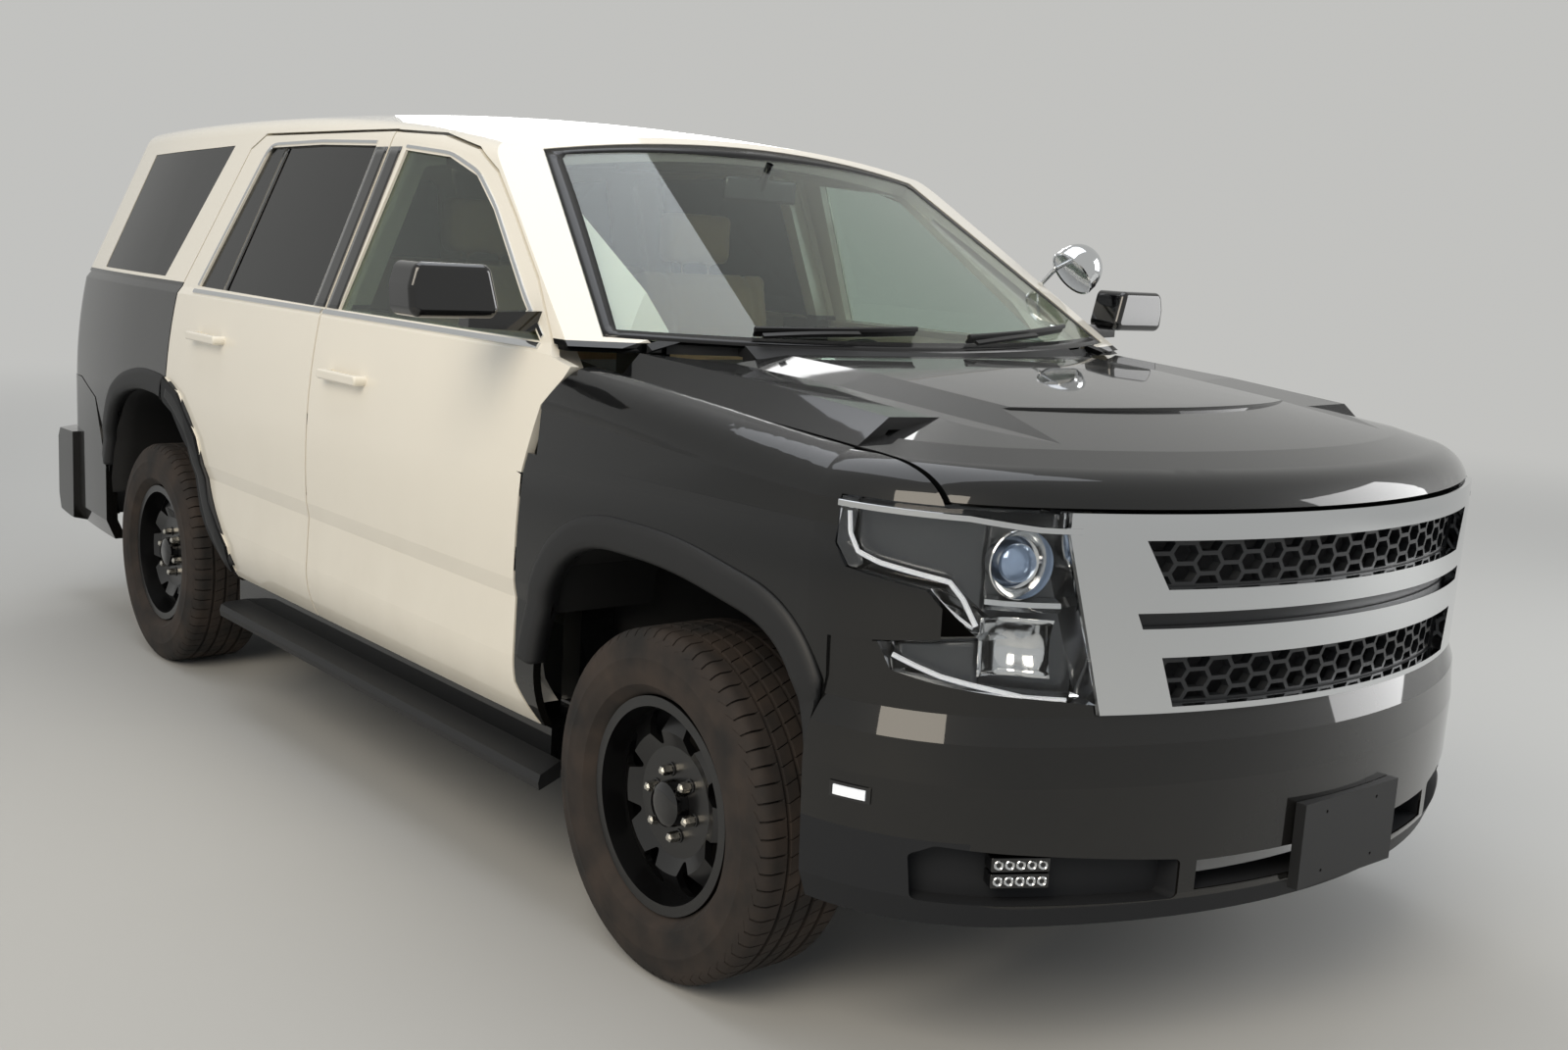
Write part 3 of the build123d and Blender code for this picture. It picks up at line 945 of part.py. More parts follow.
KINGPIN_X = 745.0
KINGPIN_R = 11.0
spindle_end = HALF_TRACK + 60
knuckle = seen_from_side(Pos(FRONT_AXLE_Y, TYRE_R) * Circle(HUB_R), KINGPIN_X - 10, spindle_end)
knuckle = knuckle + block((KINGPIN_X - 22, FRONT_AXLE_Y - 25, 262), (KINGPIN_X + 22, FRONT_AXLE_Y + 25, 520))
knuckle = knuckle + block((KINGPIN_X - 18, FRONT_AXLE_Y + 20, 350), (KINGPIN_X + 12, FRONT_AXLE_Y + 150, 380))
knuckle = knuckle + seen_from_side(Pos(FRONT_AXLE_Y, TYRE_R) * Circle(165), KINGPIN_X + 44, KINGPIN_X + 72)
knuckle = knuckle + seen_from_side(Pos(FRONT_AXLE_Y, TYRE_R) * Circle(60), KINGPIN_X + 20, KINGPIN_X + 46)
knuckle = knuckle - Pos(KINGPIN_X, FRONT_AXLE_Y, 240) * Cylinder(KINGPIN_R + PIN_CLEARANCE, 120)
knuckle = knuckle - Pos(KINGPIN_X, FRONT_AXLE_Y, 520) * Cylinder(KINGPIN_R + PIN_CLEARANCE, 120)
keep("knuckle_left", knuckle)
keep("knuckle_right", mirrored(knuckle))
arm_low = seen_from_above(outline([(RAIL_OUT - 30, FRONT_AXLE_Y - 160), (KINGPIN_X + 20, FRONT_AXLE_Y - 22),
                                   (KINGPIN_X + 20, FRONT_AXLE_Y + 22), (RAIL_OUT - 30, FRONT_AXLE_Y + 200)]), 215, 245)
arm_low = arm_low + block((RAIL_OUT - 80, FRONT_AXLE_Y - 160, 215), (RAIL_OUT - 25, FRONT_AXLE_Y + 200, 400 - FIT))
arm_low = arm_low + Pos(KINGPIN_X, FRONT_AXLE_Y, 270) * Cylinder(KINGPIN_R, 56)
arm_high = seen_from_above(outline([(RAIL_OUT - 60, FRONT_AXLE_Y - 110), (KINGPIN_X + 18, FRONT_AXLE_Y - 18),
                                    (KINGPIN_X + 18, FRONT_AXLE_Y + 18), (RAIL_OUT - 60, FRONT_AXLE_Y + 80)]), 530, 550)
arm_high = arm_high + Pos(KINGPIN_X, FRONT_AXLE_Y, 515) * Cylinder(KINGPIN_R, 50)
arm_high = arm_high + block((RAIL_OUT - 55, FRONT_AXLE_Y - 70, 500 + FIT), (RAIL_OUT - 5, FRONT_AXLE_Y + 70, 550))
keep("front_suspension", arm_low, arm_high, mirrored(arm_low), mirrored(arm_high))

# Rear axle and drive shaft

axle_spot = Pos(REAR_AXLE_Y, TYRE_R)
rear_axle = seen_from_side(axle_spot * Circle(42), -745, 745) + Pos(0, REAR_AXLE_Y, TYRE_R) * Sphere(150)
rear_axle = rear_axle + both_sides(seen_from_side(axle_spot * Circle(HUB_R), 700, spindle_end))
rear_axle = rear_axle + both_sides(seen_from_side(axle_spot * Circle(165), 744, 768))
rear_axle = rear_axle + both_sides(block((RAIL_IN + 10, REAR_AXLE_Y - 50, 400), (RAIL_OUT - 10, REAR_AXLE_Y + 50, 470 - FIT)))
shaft_start, shaft_end = (0, -270 + FIT, 520), (0, REAR_AXLE_Y - 120, TYRE_R)
reach = sqrt((shaft_end[1] - shaft_start[1]) ** 2 + (shaft_end[2] - shaft_start[2]) ** 2)
shaft_plane = Plane(shaft_start, x_dir=(1, 0, 0), z_dir=(0, shaft_end[1] - shaft_start[1], shaft_end[2] - shaft_start[2]))
shaft = extrude(shaft_plane * Circle(33), reach) & block((-100, shaft_start[1], 0), (100, 2000, 1000))
keep("rear_axle", rear_axle + shaft)

# Wheel arch liners, fuel tank, exhaust and spare wheel

LINER_T = 8.0
house = side_prism(grown(FRONT_ARCH, 20) - grown(FRONT_ARCH, 20 - LINER_T), 560)
house = house & ring(slab(SKIN_FENDER, FENDER_T + FIT, 300), "fore", "corner") & block((0, -2035, 560), (1300, -1140, 1000))
house = house - side_prism(grown(BUMPER_FRONT_SIDE, 3), 300)
rear_house = side_prism(grown(REAR_ARCH, 20) - grown(REAR_ARCH, 20 - LINER_T), HOUSE_X + FIT, HALF_WIDTH - 120)
rear_house = rear_house & block((0, 880, 560), (1300, 1830, 1000))
keep("wheel_arch_liners", house, mirrored(house), rear_house, mirrored(rear_house))
tank = fillet(block((-340, 100, 300), (-90, 600, 520)).edges(), 20) + block((-340, 200, 500), (-120, 240, FLOOR_Z - 20 - FIT))
keep("fuel_tank", tank + block((-340, 480, 500), (-120, 520, FLOOR_Z - 20 - FIT)))
hanger = block((240, -100, 450), (260, -80, FLOOR_Z - 20 - FIT)) + block((240, 300, 450), (260, 320, FLOOR_Z - 20 - FIT))
exhaust = seen_from_front(Pos(250, 450) * Circle(28), -1000, 900) + seen_from_front(Pos(250, 450) * Ellipse(90, 45), -200, 350) + hanger
keep("exhaust", exhaust)
spare = Pos(0, 1955, 640) * Rot(180, 0, 0) * (Cylinder(TYRE_R - 20, 190) - Pos(0, 0, 60) * Cylinder(RIM_R, 120))
keep("spare_wheel", spare + Pos(0, 1955, 742) * Cylinder(40, 749.7 - 734.3))

for node, solids in parts.items():
    export_step(Compound(label=node, children=solids), f"parts/{node}.step")
print(len(parts), "nodes,", sum(len(s) for s in parts.values()), "solids")
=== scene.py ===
# %% [markdown]
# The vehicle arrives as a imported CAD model: every panel, wheel and seat is already an object in metres.
# A script can either rebuild these shapes or dress them. Dressing keeps the joints and the sizes true,
# so this script loads the frame first, and then adds finishes, small parts, light and a camera.

import bmesh
import bpy
import numpy as np
from mathutils import Matrix, Vector


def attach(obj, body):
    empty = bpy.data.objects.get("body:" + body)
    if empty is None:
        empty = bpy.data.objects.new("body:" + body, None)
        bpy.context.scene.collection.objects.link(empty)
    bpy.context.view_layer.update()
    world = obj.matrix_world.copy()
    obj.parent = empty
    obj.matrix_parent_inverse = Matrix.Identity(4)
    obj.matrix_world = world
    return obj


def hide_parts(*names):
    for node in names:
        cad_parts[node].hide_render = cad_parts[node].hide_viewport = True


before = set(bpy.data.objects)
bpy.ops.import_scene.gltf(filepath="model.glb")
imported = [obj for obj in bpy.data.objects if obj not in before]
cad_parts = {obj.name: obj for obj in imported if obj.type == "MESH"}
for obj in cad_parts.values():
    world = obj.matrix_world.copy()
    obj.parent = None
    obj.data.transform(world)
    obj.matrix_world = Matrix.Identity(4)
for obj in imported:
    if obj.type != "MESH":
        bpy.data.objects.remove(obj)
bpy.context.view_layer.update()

# %% [markdown]
# Colours are easiest to name as the hex codes of a screen, but Cycles works in linear light. One function
# turns a code into linear values, and one helper adds a node with its settings and links, so each material
# below reads as a short list of what the real finish is made of.

# %% Colours and nodes


def linear(code):
    """A hex colour in linear light: each channel's sRGB curve undone, and alpha 1."""
    srgb = np.array([int(code[i:i + 2], 16) / 255 for i in (0, 2, 4)])
    low, high = srgb / 12.92, ((srgb + 0.055) / 1.055) ** 2.4
    return (*np.where(srgb <= 0.04045, low, high), 1.0)


def add(material, kind, settings=None, inputs=None):
    """Adds one node. Settings are its properties; inputs are values or other nodes' output sockets."""
    node = material.node_tree.nodes.new(kind)
    for name, value in (settings or {}).items():
        setattr(node, name, value)
    for name, value in (inputs or {}).items():
        if isinstance(value, bpy.types.NodeSocket):
            material.node_tree.links.new(value, node.inputs[name])
        else:
            node.inputs[name].default_value = value
    return node


def finish(name, colour, roughness, **sockets):
    """A material with one Principled shader. Underscores in the socket names stand for spaces."""
    material = bpy.data.materials.new(name)
    material.use_nodes = True
    shader = material.node_tree.nodes["Principled BSDF"]
    shader.inputs["Base Color"].default_value = linear(colour)
    shader.inputs["Roughness"].default_value = roughness
    for socket, value in sockets.items():
        shader.inputs[socket.replace("_", " ")].default_value = value
    return material, shader


def link(material, output, socket):
    material.node_tree.links.new(output, socket)


def ramp(node, stops):
    """Sets a Color Ramp's stops from (place, grey value or hex colour) pairs."""
    elements = node.color_ramp.elements
    while len(elements) < len(stops):
        elements.new(0.5)
    for element, (place, value) in zip(elements, stops):
        element.position = place
        element.color = linear(value) if isinstance(value, str) else (value, value, value, 1)
    return node


def place_of(material):
    return add(material, "ShaderNodeTexCoord").outputs["Object"]


def bumped(material, shader, grain_mm, depth_mm, strength, kind="ShaderNodeTexNoise"):
    """A fine bump of a real grain size, on Object coordinates: its scale is one over the grain in metres."""
    noise = add(material, kind, inputs={"Vector": place_of(material), "Scale": 1000 / grain_mm})
    height = noise.outputs["Fac"] if "Fac" in noise.outputs else noise.outputs["Distance"]
    bump = add(material, "ShaderNodeBump",
               inputs={"Height": height, "Strength": strength, "Distance": depth_mm / 1000})
    link(material, bump.outputs["Normal"], shader.inputs["Normal"])


# %% [markdown]
# Car paint is a thin colour layer under a clear coat. The clear coat carries the sharp reflections, and the
# colour below it is a little rough. Fine road dust settles low on the doors, so the colour drifts slightly
# with height and with a large noise. Principled's own coat does this better than two mixed shaders.

# %% Paint
WHITE, LIGHT_DUST, BLACK, DARK_DUST = "F1EBDD", "A39880", "050607", "6E6350"
BELT_SPLIT_Z = 1.297


def paint(name, colour, dust, dust_amount):
    """Clear-coated paint with dust that thickens towards the sills, from 0.95 m down to 0.35 m."""
    material, shader = finish(name, colour, 0.42, Coat_Weight=1.0, Coat_Roughness=0.03, Coat_IOR=1.5,
                              Specular_IOR_Level=0.1)
    place = place_of(material)
    height = add(material, "ShaderNodeSeparateXYZ", inputs={"Vector": place}).outputs["Z"]
    low = add(material, "ShaderNodeMapRange",
              inputs={"Value": height, "From Min": 0.35, "From Max": 0.95, "To Min": 1.0, "To Max": 0.12})
    clouds = add(material, "ShaderNodeTexNoise", inputs={"Vector": place, "Scale": 6.0, "Detail": 6.0})
    film = add(material, "ShaderNodeMath", {"operation": "MULTIPLY"},
               {0: low.outputs["Result"], 1: clouds.outputs["Fac"]})
    amount = add(material, "ShaderNodeMath", {"operation": "MULTIPLY"}, {0: film.outputs[0], 1: dust_amount})
    mix = add(material, "ShaderNodeMix", {"data_type": "RGBA"},
              {"Factor": amount.outputs[0], 6: linear(colour), 7: linear(dust)})
    link(material, mix.outputs[2], shader.inputs["Base Color"])
    return material, shader, mix


paint_white, _, _ = paint("paint_white_clearcoat", WHITE, LIGHT_DUST, 0.28)
paint_black, _, _ = paint("paint_black_clearcoat", BLACK, DARK_DUST, 0.035)


def two_tone(name):
    """White above the belt and black below it, split at one height."""
    material, shader, mix = paint(name, WHITE, LIGHT_DUST, 0.18)
    height = add(material, "ShaderNodeSeparateXYZ", inputs={"Vector": place_of(material)}).outputs["Z"]
    above = add(material, "ShaderNodeMath", {"operation": "GREATER_THAN"}, {0: height, 1: BELT_SPLIT_Z})
    split = add(material, "ShaderNodeMix", {"data_type": "RGBA"},
                {"Factor": above.outputs[0], 6: linear(BLACK), 7: mix.outputs[2]})
    link(material, split.outputs[2], shader.inputs["Base Color"])
    return material


paint_split = two_tone("paint_two_tone_clearcoat")

# %% [markdown]
# The flares, mirrors, boards and valance are moulded polypropylene and ABS. Grained polypropylene scatters
# light softly and shows a leather-like grain about half a millimetre across; polished ABS is as sharp as
# paint.

# %% Plastics, rubber, metals and glass
grained, grained_shader = finish("grained_polypropylene", "17181A", 0.55)
bumped(grained, grained_shader, 0.8, 0.25, 0.5)
liner_plastic, _ = finish("thermoformed_liner_plastic", "0D0D0E", 0.8)
gloss_abs, _ = finish("gloss_black_abs", "050506", 0.08, Coat_Weight=0.6, Coat_Roughness=0.03)
chrome, _ = finish("chromed_abs", "D8DADC", 0.07, Metallic=1.0)
steel_black, _ = finish("satin_black_coated_steel", "0C0C0D", 0.32, Coat_Weight=0.3, Coat_Roughness=0.15)
chassis_black, _ = finish("waxed_black_chassis_steel", "121212", 0.6, Metallic=0.2)
bare_steel, _ = finish("aluminised_exhaust_steel", "8B8680", 0.4, Metallic=1.0)
cast_iron, _ = finish("cast_iron", "3A3733", 0.65, Metallic=0.6)
bolt_zinc, _ = finish("zinc_plated_steel", "C9C6BE", 0.25, Metallic=1.0)
inner_paint, _ = finish("inner_panel_primer", "2B2C2E", 0.6)
cabin_plastic, cabin_shader = finish("soft_cabin_plastic", "2A2724", 0.6)
bumped(cabin_plastic, cabin_shader, 1.2, 0.2, 0.4)
cabin_carpet, carpet_shader = finish("tufted_carpet", "1B1A19", 0.95, Sheen_Weight=0.3)
bumped(cabin_carpet, carpet_shader, 2.0, 1.0, 0.8)

clear_glass, _ = finish("laminated_windshield_glass", "E4EFEA", 0.0, Transmission_Weight=1.0, IOR=1.45)
tinted_glass, _ = finish("tempered_green_tint_glass", "A9B9AE", 0.0, Transmission_Weight=1.0, IOR=1.45)
privacy_glass, _ = finish("privacy_glass", "14191A", 0.0, Transmission_Weight=0.9, IOR=1.5)
lens_clear, _ = finish("clear_polycarbonate_lens", "F4F6F7", 0.02, Transmission_Weight=1.0, IOR=1.3)
lens_red, _ = finish("red_acrylic_lens", "8A0508", 0.06, Transmission_Weight=0.35, Coat_Weight=0.8)
lamp_silver, _ = finish("vacuum_metallised_reflector", "DCDEE0", 0.12, Metallic=1.0)

# %% [markdown]
# Tyre rubber on a used patrol vehicle isn't black: brown dust sits in the side walls and the shoulders, while
# the running face is worn clean. A large noise mixes the dust in, and a fine one roughens the surface.

# %% Rubber
rubber, rubber_shader = finish("dusty_tyre_rubber", "1A1817", 0.85)
rubber_place = place_of(rubber)
patches = add(rubber, "ShaderNodeTexNoise", inputs={"Vector": rubber_place, "Scale": 9.0, "Detail": 8.0})
patch_ramp = ramp(add(rubber, "ShaderNodeValToRGB", inputs={"Fac": patches.outputs["Fac"]}),
                  [(0.32, "1B1918"), (0.72, "3B312A")])
link(rubber, patch_ramp.outputs["Color"], rubber_shader.inputs["Base Color"])
bumped(rubber, rubber_shader, 1.5, 0.3, 0.4)

# %% [markdown]
# The rear wheel's flare runs on over the rear door's edge, so a part of it opens with the door. In the CAD
# model that part belongs to the door's node. One material can still show both finishes: paint where the
# low part of the door follows the skin's line, and grained plastic where it stands out.

# %% Door paint


def door_paint():
    """White door skin, and grained plastic where the wheel flare stands 7 mm or more out of the skin.

    The skin's line is n(z), the distance from the widest plan line, read from a ramp over the door's height.
    """
    half_width, low_z, high_z, most_in = 1.005, 0.40, 1.04, 0.052
    line = [(0.400, -0.052), (0.470, -0.018), (0.515, -0.0085), (0.560, -0.005), (0.700, -0.012),
            (0.742, -0.004), (0.900, 0.0), (1.040, -0.007)]
    material, shader, mix = paint("door_paint_white_clearcoat", WHITE, LIGHT_DUST, 0.28)
    split = add(material, "ShaderNodeSeparateXYZ", inputs={"Vector": place_of(material)})
    spot = add(material, "ShaderNodeMapRange",
               inputs={"Value": split.outputs["Z"], "From Min": low_z, "From Max": high_z})
    curve = add(material, "ShaderNodeValToRGB", inputs={"Fac": spot.outputs["Result"]})
    ramp(curve, [((z - low_z) / (high_z - low_z), 1 + n / most_in) for z, n in line])
    skin = add(material, "ShaderNodeMath", {"operation": "MULTIPLY_ADD"},
               {0: curve.outputs["Color"], 1: most_in, 2: half_width - most_in + 0.007})
    side = add(material, "ShaderNodeMath", {"operation": "ABSOLUTE"}, {0: split.outputs["X"]})
    flare = add(material, "ShaderNodeMath", {"operation": "GREATER_THAN"},
                {0: side.outputs[0], 1: skin.outputs[0]})
    low = add(material, "ShaderNodeMath", {"operation": "LESS_THAN"}, {0: split.outputs["Z"], 1: high_z})
    mask = add(material, "ShaderNodeMath", {"operation": "MULTIPLY"},
               {0: flare.outputs[0], 1: low.outputs[0]})
    colour = add(material, "ShaderNodeMix", {"data_type": "RGBA"},
                 {"Factor": mask.outputs[0], 6: mix.outputs[2], 7: linear("17181A")})
    link(material, colour.outputs[2], shader.inputs["Base Color"])
    coat = add(material, "ShaderNodeMath", {"operation": "SUBTRACT"}, {0: 1.0, 1: mask.outputs[0]})
    link(material, coat.outputs[0], shader.inputs["Coat Weight"])
    return material


door_white = door_paint()

# %% [markdown]
# The grille is one moulding with two finishes: its frame is chromed, and the honeycomb set back in it is bare
# dark plastic. The body's front is an arc round a point on the ground plane, so a distance from that point
# tells how deep a spot lies. The same distance finds the dark plastic pockets in the painted bumper.

# %% Masks by depth


def nose_depth(material):
    """The distance in plan from the nose arc's centre at y = -1.06, whose radius is 1.5 m, and the height."""
    place = place_of(material)
    moved = add(material, "ShaderNodeVectorMath", {"operation": "ADD"}, {0: place, 1: (0, 1.06, 0)})
    flat = add(material, "ShaderNodeVectorMath", {"operation": "MULTIPLY"},
               {0: moved.outputs[0], 1: (1, 1, 0)})
    length = add(material, "ShaderNodeVectorMath", {"operation": "LENGTH"},
                 {0: flat.outputs[0]}).outputs["Value"]
    return length, add(material, "ShaderNodeSeparateXYZ", inputs={"Vector": place}).outputs["Z"]


grille_finish, grille_shader = finish("chromed_grille_with_dark_mesh", "D8DADC", 0.07)
depth_value, _ = nose_depth(grille_finish)
MESH_DEPTH, POCKET_DEPTH, POCKET_TOP, LIP_TOP = 1.4785, 1.5095, 0.495, 0.338
is_mesh = add(grille_finish, "ShaderNodeMath", {"operation": "LESS_THAN"},
              {0: depth_value, 1: MESH_DEPTH}).outputs[0]
grille_colour = add(grille_finish, "ShaderNodeMix", {"data_type": "RGBA"},
                    {"Factor": is_mesh, 6: linear("D8DADC"), 7: linear("1F2124")})
is_chrome = add(grille_finish, "ShaderNodeMath", {"operation": "SUBTRACT"}, {0: 1.0, 1: is_mesh}).outputs[0]
mesh_rough = add(grille_finish, "ShaderNodeMath", {"operation": "MULTIPLY_ADD"},
                 {0: is_mesh, 1: 0.40, 2: 0.07})
link(grille_finish, grille_colour.outputs[2], grille_shader.inputs["Base Color"])
link(grille_finish, is_chrome, grille_shader.inputs["Metallic"])
link(grille_finish, mesh_rough.outputs[0], grille_shader.inputs["Roughness"])

bumper_finish, bumper_shader, bumper_mix = paint("bumper_paint_black_clearcoat", BLACK, DARK_DUST, 0.05)
depth_value, height_value = nose_depth(bumper_finish)
deep = add(bumper_finish, "ShaderNodeMath", {"operation": "LESS_THAN"}, {0: depth_value, 1: POCKET_DEPTH})
low = add(bumper_finish, "ShaderNodeMath", {"operation": "LESS_THAN"}, {0: height_value, 1: POCKET_TOP})
pocket = add(bumper_finish, "ShaderNodeMath", {"operation": "MULTIPLY"},
             {0: deep.outputs[0], 1: low.outputs[0]})
lip = add(bumper_finish, "ShaderNodeMath", {"operation": "LESS_THAN"}, {0: height_value, 1: LIP_TOP})
bare = add(bumper_finish, "ShaderNodeMath", {"operation": "MAXIMUM"},
           {0: pocket.outputs[0], 1: lip.outputs[0]}).outputs[0]
bumper_colour = add(bumper_finish, "ShaderNodeMix", {"data_type": "RGBA"},
                    {"Factor": bare, 6: bumper_mix.outputs[2], 7: linear("2B2C2E")})
painted = add(bumper_finish, "ShaderNodeMath", {"operation": "SUBTRACT"}, {0: 1.0, 1: bare}).outputs[0]
link(bumper_finish, bumper_colour.outputs[2], bumper_shader.inputs["Base Color"])
link(bumper_finish, painted, bumper_shader.inputs["Coat Weight"])

seat_cloth, cloth_shader = finish("tan_woven_seat_cloth", "B49C7C", 0.9, Sheen_Weight=0.35,
                                  Sheen_Roughness=0.5)
bumped(seat_cloth, cloth_shader, 1.6, 0.5, 0.6, "ShaderNodeTexVoronoi")

# %% [markdown]
# Each CAD node gets the finish of the real piece. A table keeps node and finish side by side, which is
# easier to check against a photograph than a chain of conditions.

# %% Finishes of the CAD nodes
WHEEL_NAMES = [f"wheel_{end}_{side}" for end in ("front", "rear") for side in ("left", "right")]
FINISHES = [
    (paint_white, ["roof"]),
    (paint_black, ["hood", "front_fenders", "rear_bumper"]),
    (bumper_finish, ["front_bumper"]),
    (paint_split, ["body_side_left", "body_side_right", "liftgate"]),
    (door_white, ["door_front_left", "door_front_right", "door_rear_left", "door_rear_right"]),
    (grained, ["fender_flares", "running_boards", "cowl", "plate_bracket"]),
    (liner_plastic, ["wheel_arch_liners", "fuel_tank"]),
    (gloss_abs, ["mirrors_left", "mirrors_right", "fog_lamps"]),
    (grille_finish, ["grille"]),
    (chrome, ["spotlight"]),
    (lens_clear, ["headlamps"]),
    (lens_red, ["tail_lamps"]),
    (clear_glass, ["windshield"]),
    (tinted_glass, ["door_front_left_glass", "door_front_right_glass"]),
    (privacy_glass, ["door_rear_left_glass", "door_rear_right_glass", "quarter_glass", "liftgate_glass"]),
    (steel_black, [f"{wheel}_rim" for wheel in WHEEL_NAMES]),
    (chassis_black, ["chassis_frame", "front_suspension", "rear_axle"]),
    (cast_iron, ["engine", "transmission", "knuckle_left", "knuckle_right"]),
    (bare_steel, ["exhaust"]),
    (inner_paint, ["front_structure", "hood_brackets"]),
    (cabin_plastic, ["dashboard", "console", "steering_column", "steering_wheel"]),
    (cabin_carpet, ["floor_pan"]),
    (seat_cloth, ["front_seats", "rear_seat"]),
    (rubber, ["spare_wheel"] + [f"{wheel}_tyre" for wheel in WHEEL_NAMES]),
]
for material, names in FINISHES:
    for name in names:
        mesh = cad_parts[name].data
        mesh.materials.clear()
        mesh.materials.append(material)
print("finished nodes:", sum(len(names) for _, names in FINISHES))

# %% [markdown]
# The CAD model has every part that carries load. What is left are thin and small things: treads, nuts,
# trims, lamp internals. Most of them are one of three kinds: a surface turned about an axis, a section run
# along a path or a grid over two parameters. The mirrors are plain boxes. Each builder computes its points
# as whole arrays, and one function makes the mesh, smooths it and hands it to the body that it moves with.

# %% Mesh builders
scene = bpy.context.scene
SIDES = {"left": 1, "right": -1}


def quads(rows, columns, closed=False):
    """Corner numbers of a grid's faces. When closed, the last column meets the first."""
    row, column = np.meshgrid(np.arange(rows - 1), np.arange(columns if closed else columns - 1),
                              indexing="ij")
    after = (column + 1) % columns
    corners = [row * columns + column, row * columns + after, (row + 1) * columns + after,
               (row + 1) * columns + column]
    return np.stack(corners, axis=-1).reshape(-1, 4).tolist()


def turned(profile, origin, axis, count=32):
    """A surface of revolution: origin + a*axis + r*(cos t*e1 + sin t*e2) for each (a, r) of the profile."""
    axis = np.array(axis, float) / np.linalg.norm(axis)
    e1 = np.cross(axis, (0, 0, 1) if abs(axis[2]) < 0.9 else (1, 0, 0))
    e1 = e1 / np.linalg.norm(e1)
    e2 = np.cross(axis, e1)
    turn = np.linspace(0, 2 * np.pi, count, endpoint=False)[None, :, None]
    along, radius = np.array(profile, float).T[:, :, None, None]
    points = np.array(origin) + along * axis + radius * (np.cos(turn) * e1 + np.sin(turn) * e2)
    return points.reshape(-1, 3), quads(len(profile), count, closed=True)


def swept(path, outward, section):
    """A section of (out, across) pairs run along a path: p + out*n + across*(t x n), with flat ends."""
    path = np.array(path, float)
    tangent = np.gradient(path, axis=0)
    tangent /= np.linalg.norm(tangent, axis=1, keepdims=True)
    normal = np.broadcast_to(np.array(outward, float), path.shape)
    normal = normal - (normal * tangent).sum(axis=1, keepdims=True) * tangent
    normal = normal / np.linalg.norm(normal, axis=1, keepdims=True)
    side = np.cross(tangent, normal)
    out, across = np.array(section, float).T
    points = path[:, None] + out[None, :, None] * normal[:, None] + across[None, :, None] * side[:, None]
    count = len(section)
    ends = [list(range(count)), list(range(len(path) * count - 1, (len(path) - 1) * count - 1, -1))]
    return points.reshape(-1, 3), quads(len(path), count, closed=True) + ends


def boxed(low, high):
    """The eight corners and six faces of a box."""
    corners = np.array([(x, y, z) for x in (low[0], high[0]) for y in (low[1], high[1])
                        for z in (low[2], high[2])])
    return corners, [[0, 1, 3, 2], [4, 6, 7, 5], [0, 4, 5, 1], [2, 3, 7, 6], [0, 2, 6, 4], [1, 5, 7, 3]]


def sheet(grid):
    """A surface from a (rows, columns, 3) array of points."""
    return grid.reshape(-1, 3), quads(*grid.shape[:2])


def together(shapes):
    """Several shapes as one."""
    points, faces, start = [], [], 0
    for some_points, some_faces in shapes:
        points.append(some_points)
        faces += [[index + start for index in face] for face in some_faces]
        start += len(some_points)
    return np.concatenate(points), faces


def on_both_sides(shape):
    """A shape and its mirror image about x = 0, with the image's faces turned over."""
    points, faces = shape
    return together([shape, (points * (-1, 1, 1), [face[::-1] for face in faces])])


def handed(shape, sign):
    """A left piece's shape for sign 1, or its mirror image about x = 0 for sign -1."""
    points, faces = shape
    return points * (sign, 1, 1), faces


def weld(mesh, reach):
    """Joins a mesh's points that lie within reach of each other and turns its faces outward."""
    work = bmesh.new()
    work.from_mesh(mesh)
    bmesh.ops.remove_doubles(work, verts=work.verts, dist=reach)
    bmesh.ops.recalc_face_normals(work, faces=work.faces)
    work.to_mesh(mesh)
    work.free()


def piece(name, shape, material, body="body", crease=35.0, edge_mm=0.0, thick_mm=0.0):
    """An object of a shape that rides on a body, smooth except at edges sharper than crease degrees."""
    mesh = bpy.data.meshes.new(name)
    mesh.from_pydata(np.asarray(shape[0]).tolist(), [], shape[1])
    weld(mesh, 1e-6)
    mesh.materials.append(material)
    mesh.polygons.foreach_set("use_smooth", np.ones(len(mesh.polygons), dtype=bool))
    mesh.set_sharp_from_angle(angle=np.radians(crease))
    thing = bpy.data.objects.new(name, mesh)
    scene.collection.objects.link(thing)
    if thick_mm:
        shell = thing.modifiers.new("thickness", "SOLIDIFY")
        shell.thickness, shell.offset = thick_mm / 1000, 0
    if edge_mm:
        round_off = thing.modifiers.new("rounded_edges", "BEVEL")
        round_off.width, round_off.segments, round_off.limit_method = edge_mm / 1000, 2, "ANGLE"
    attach(thing, body)
    return thing


# %% [markdown]
# A tyre's tread is a height map on a drum. Each point of the running face is lowered where it falls in a
# groove: four grooves run round the tyre, and cross grooves repeat 66 times. The samples are placed at the
# groove walls, so the walls stay steep without a fine mesh everywhere.

# %% Tyres
TYRE_R, HALF_TRACK, AXLES = 0.372, 0.872, {"front": -1.600, "rear": 1.346}
PITCHES, GROOVES = 66, (-0.060, -0.021, 0.021, 0.060)

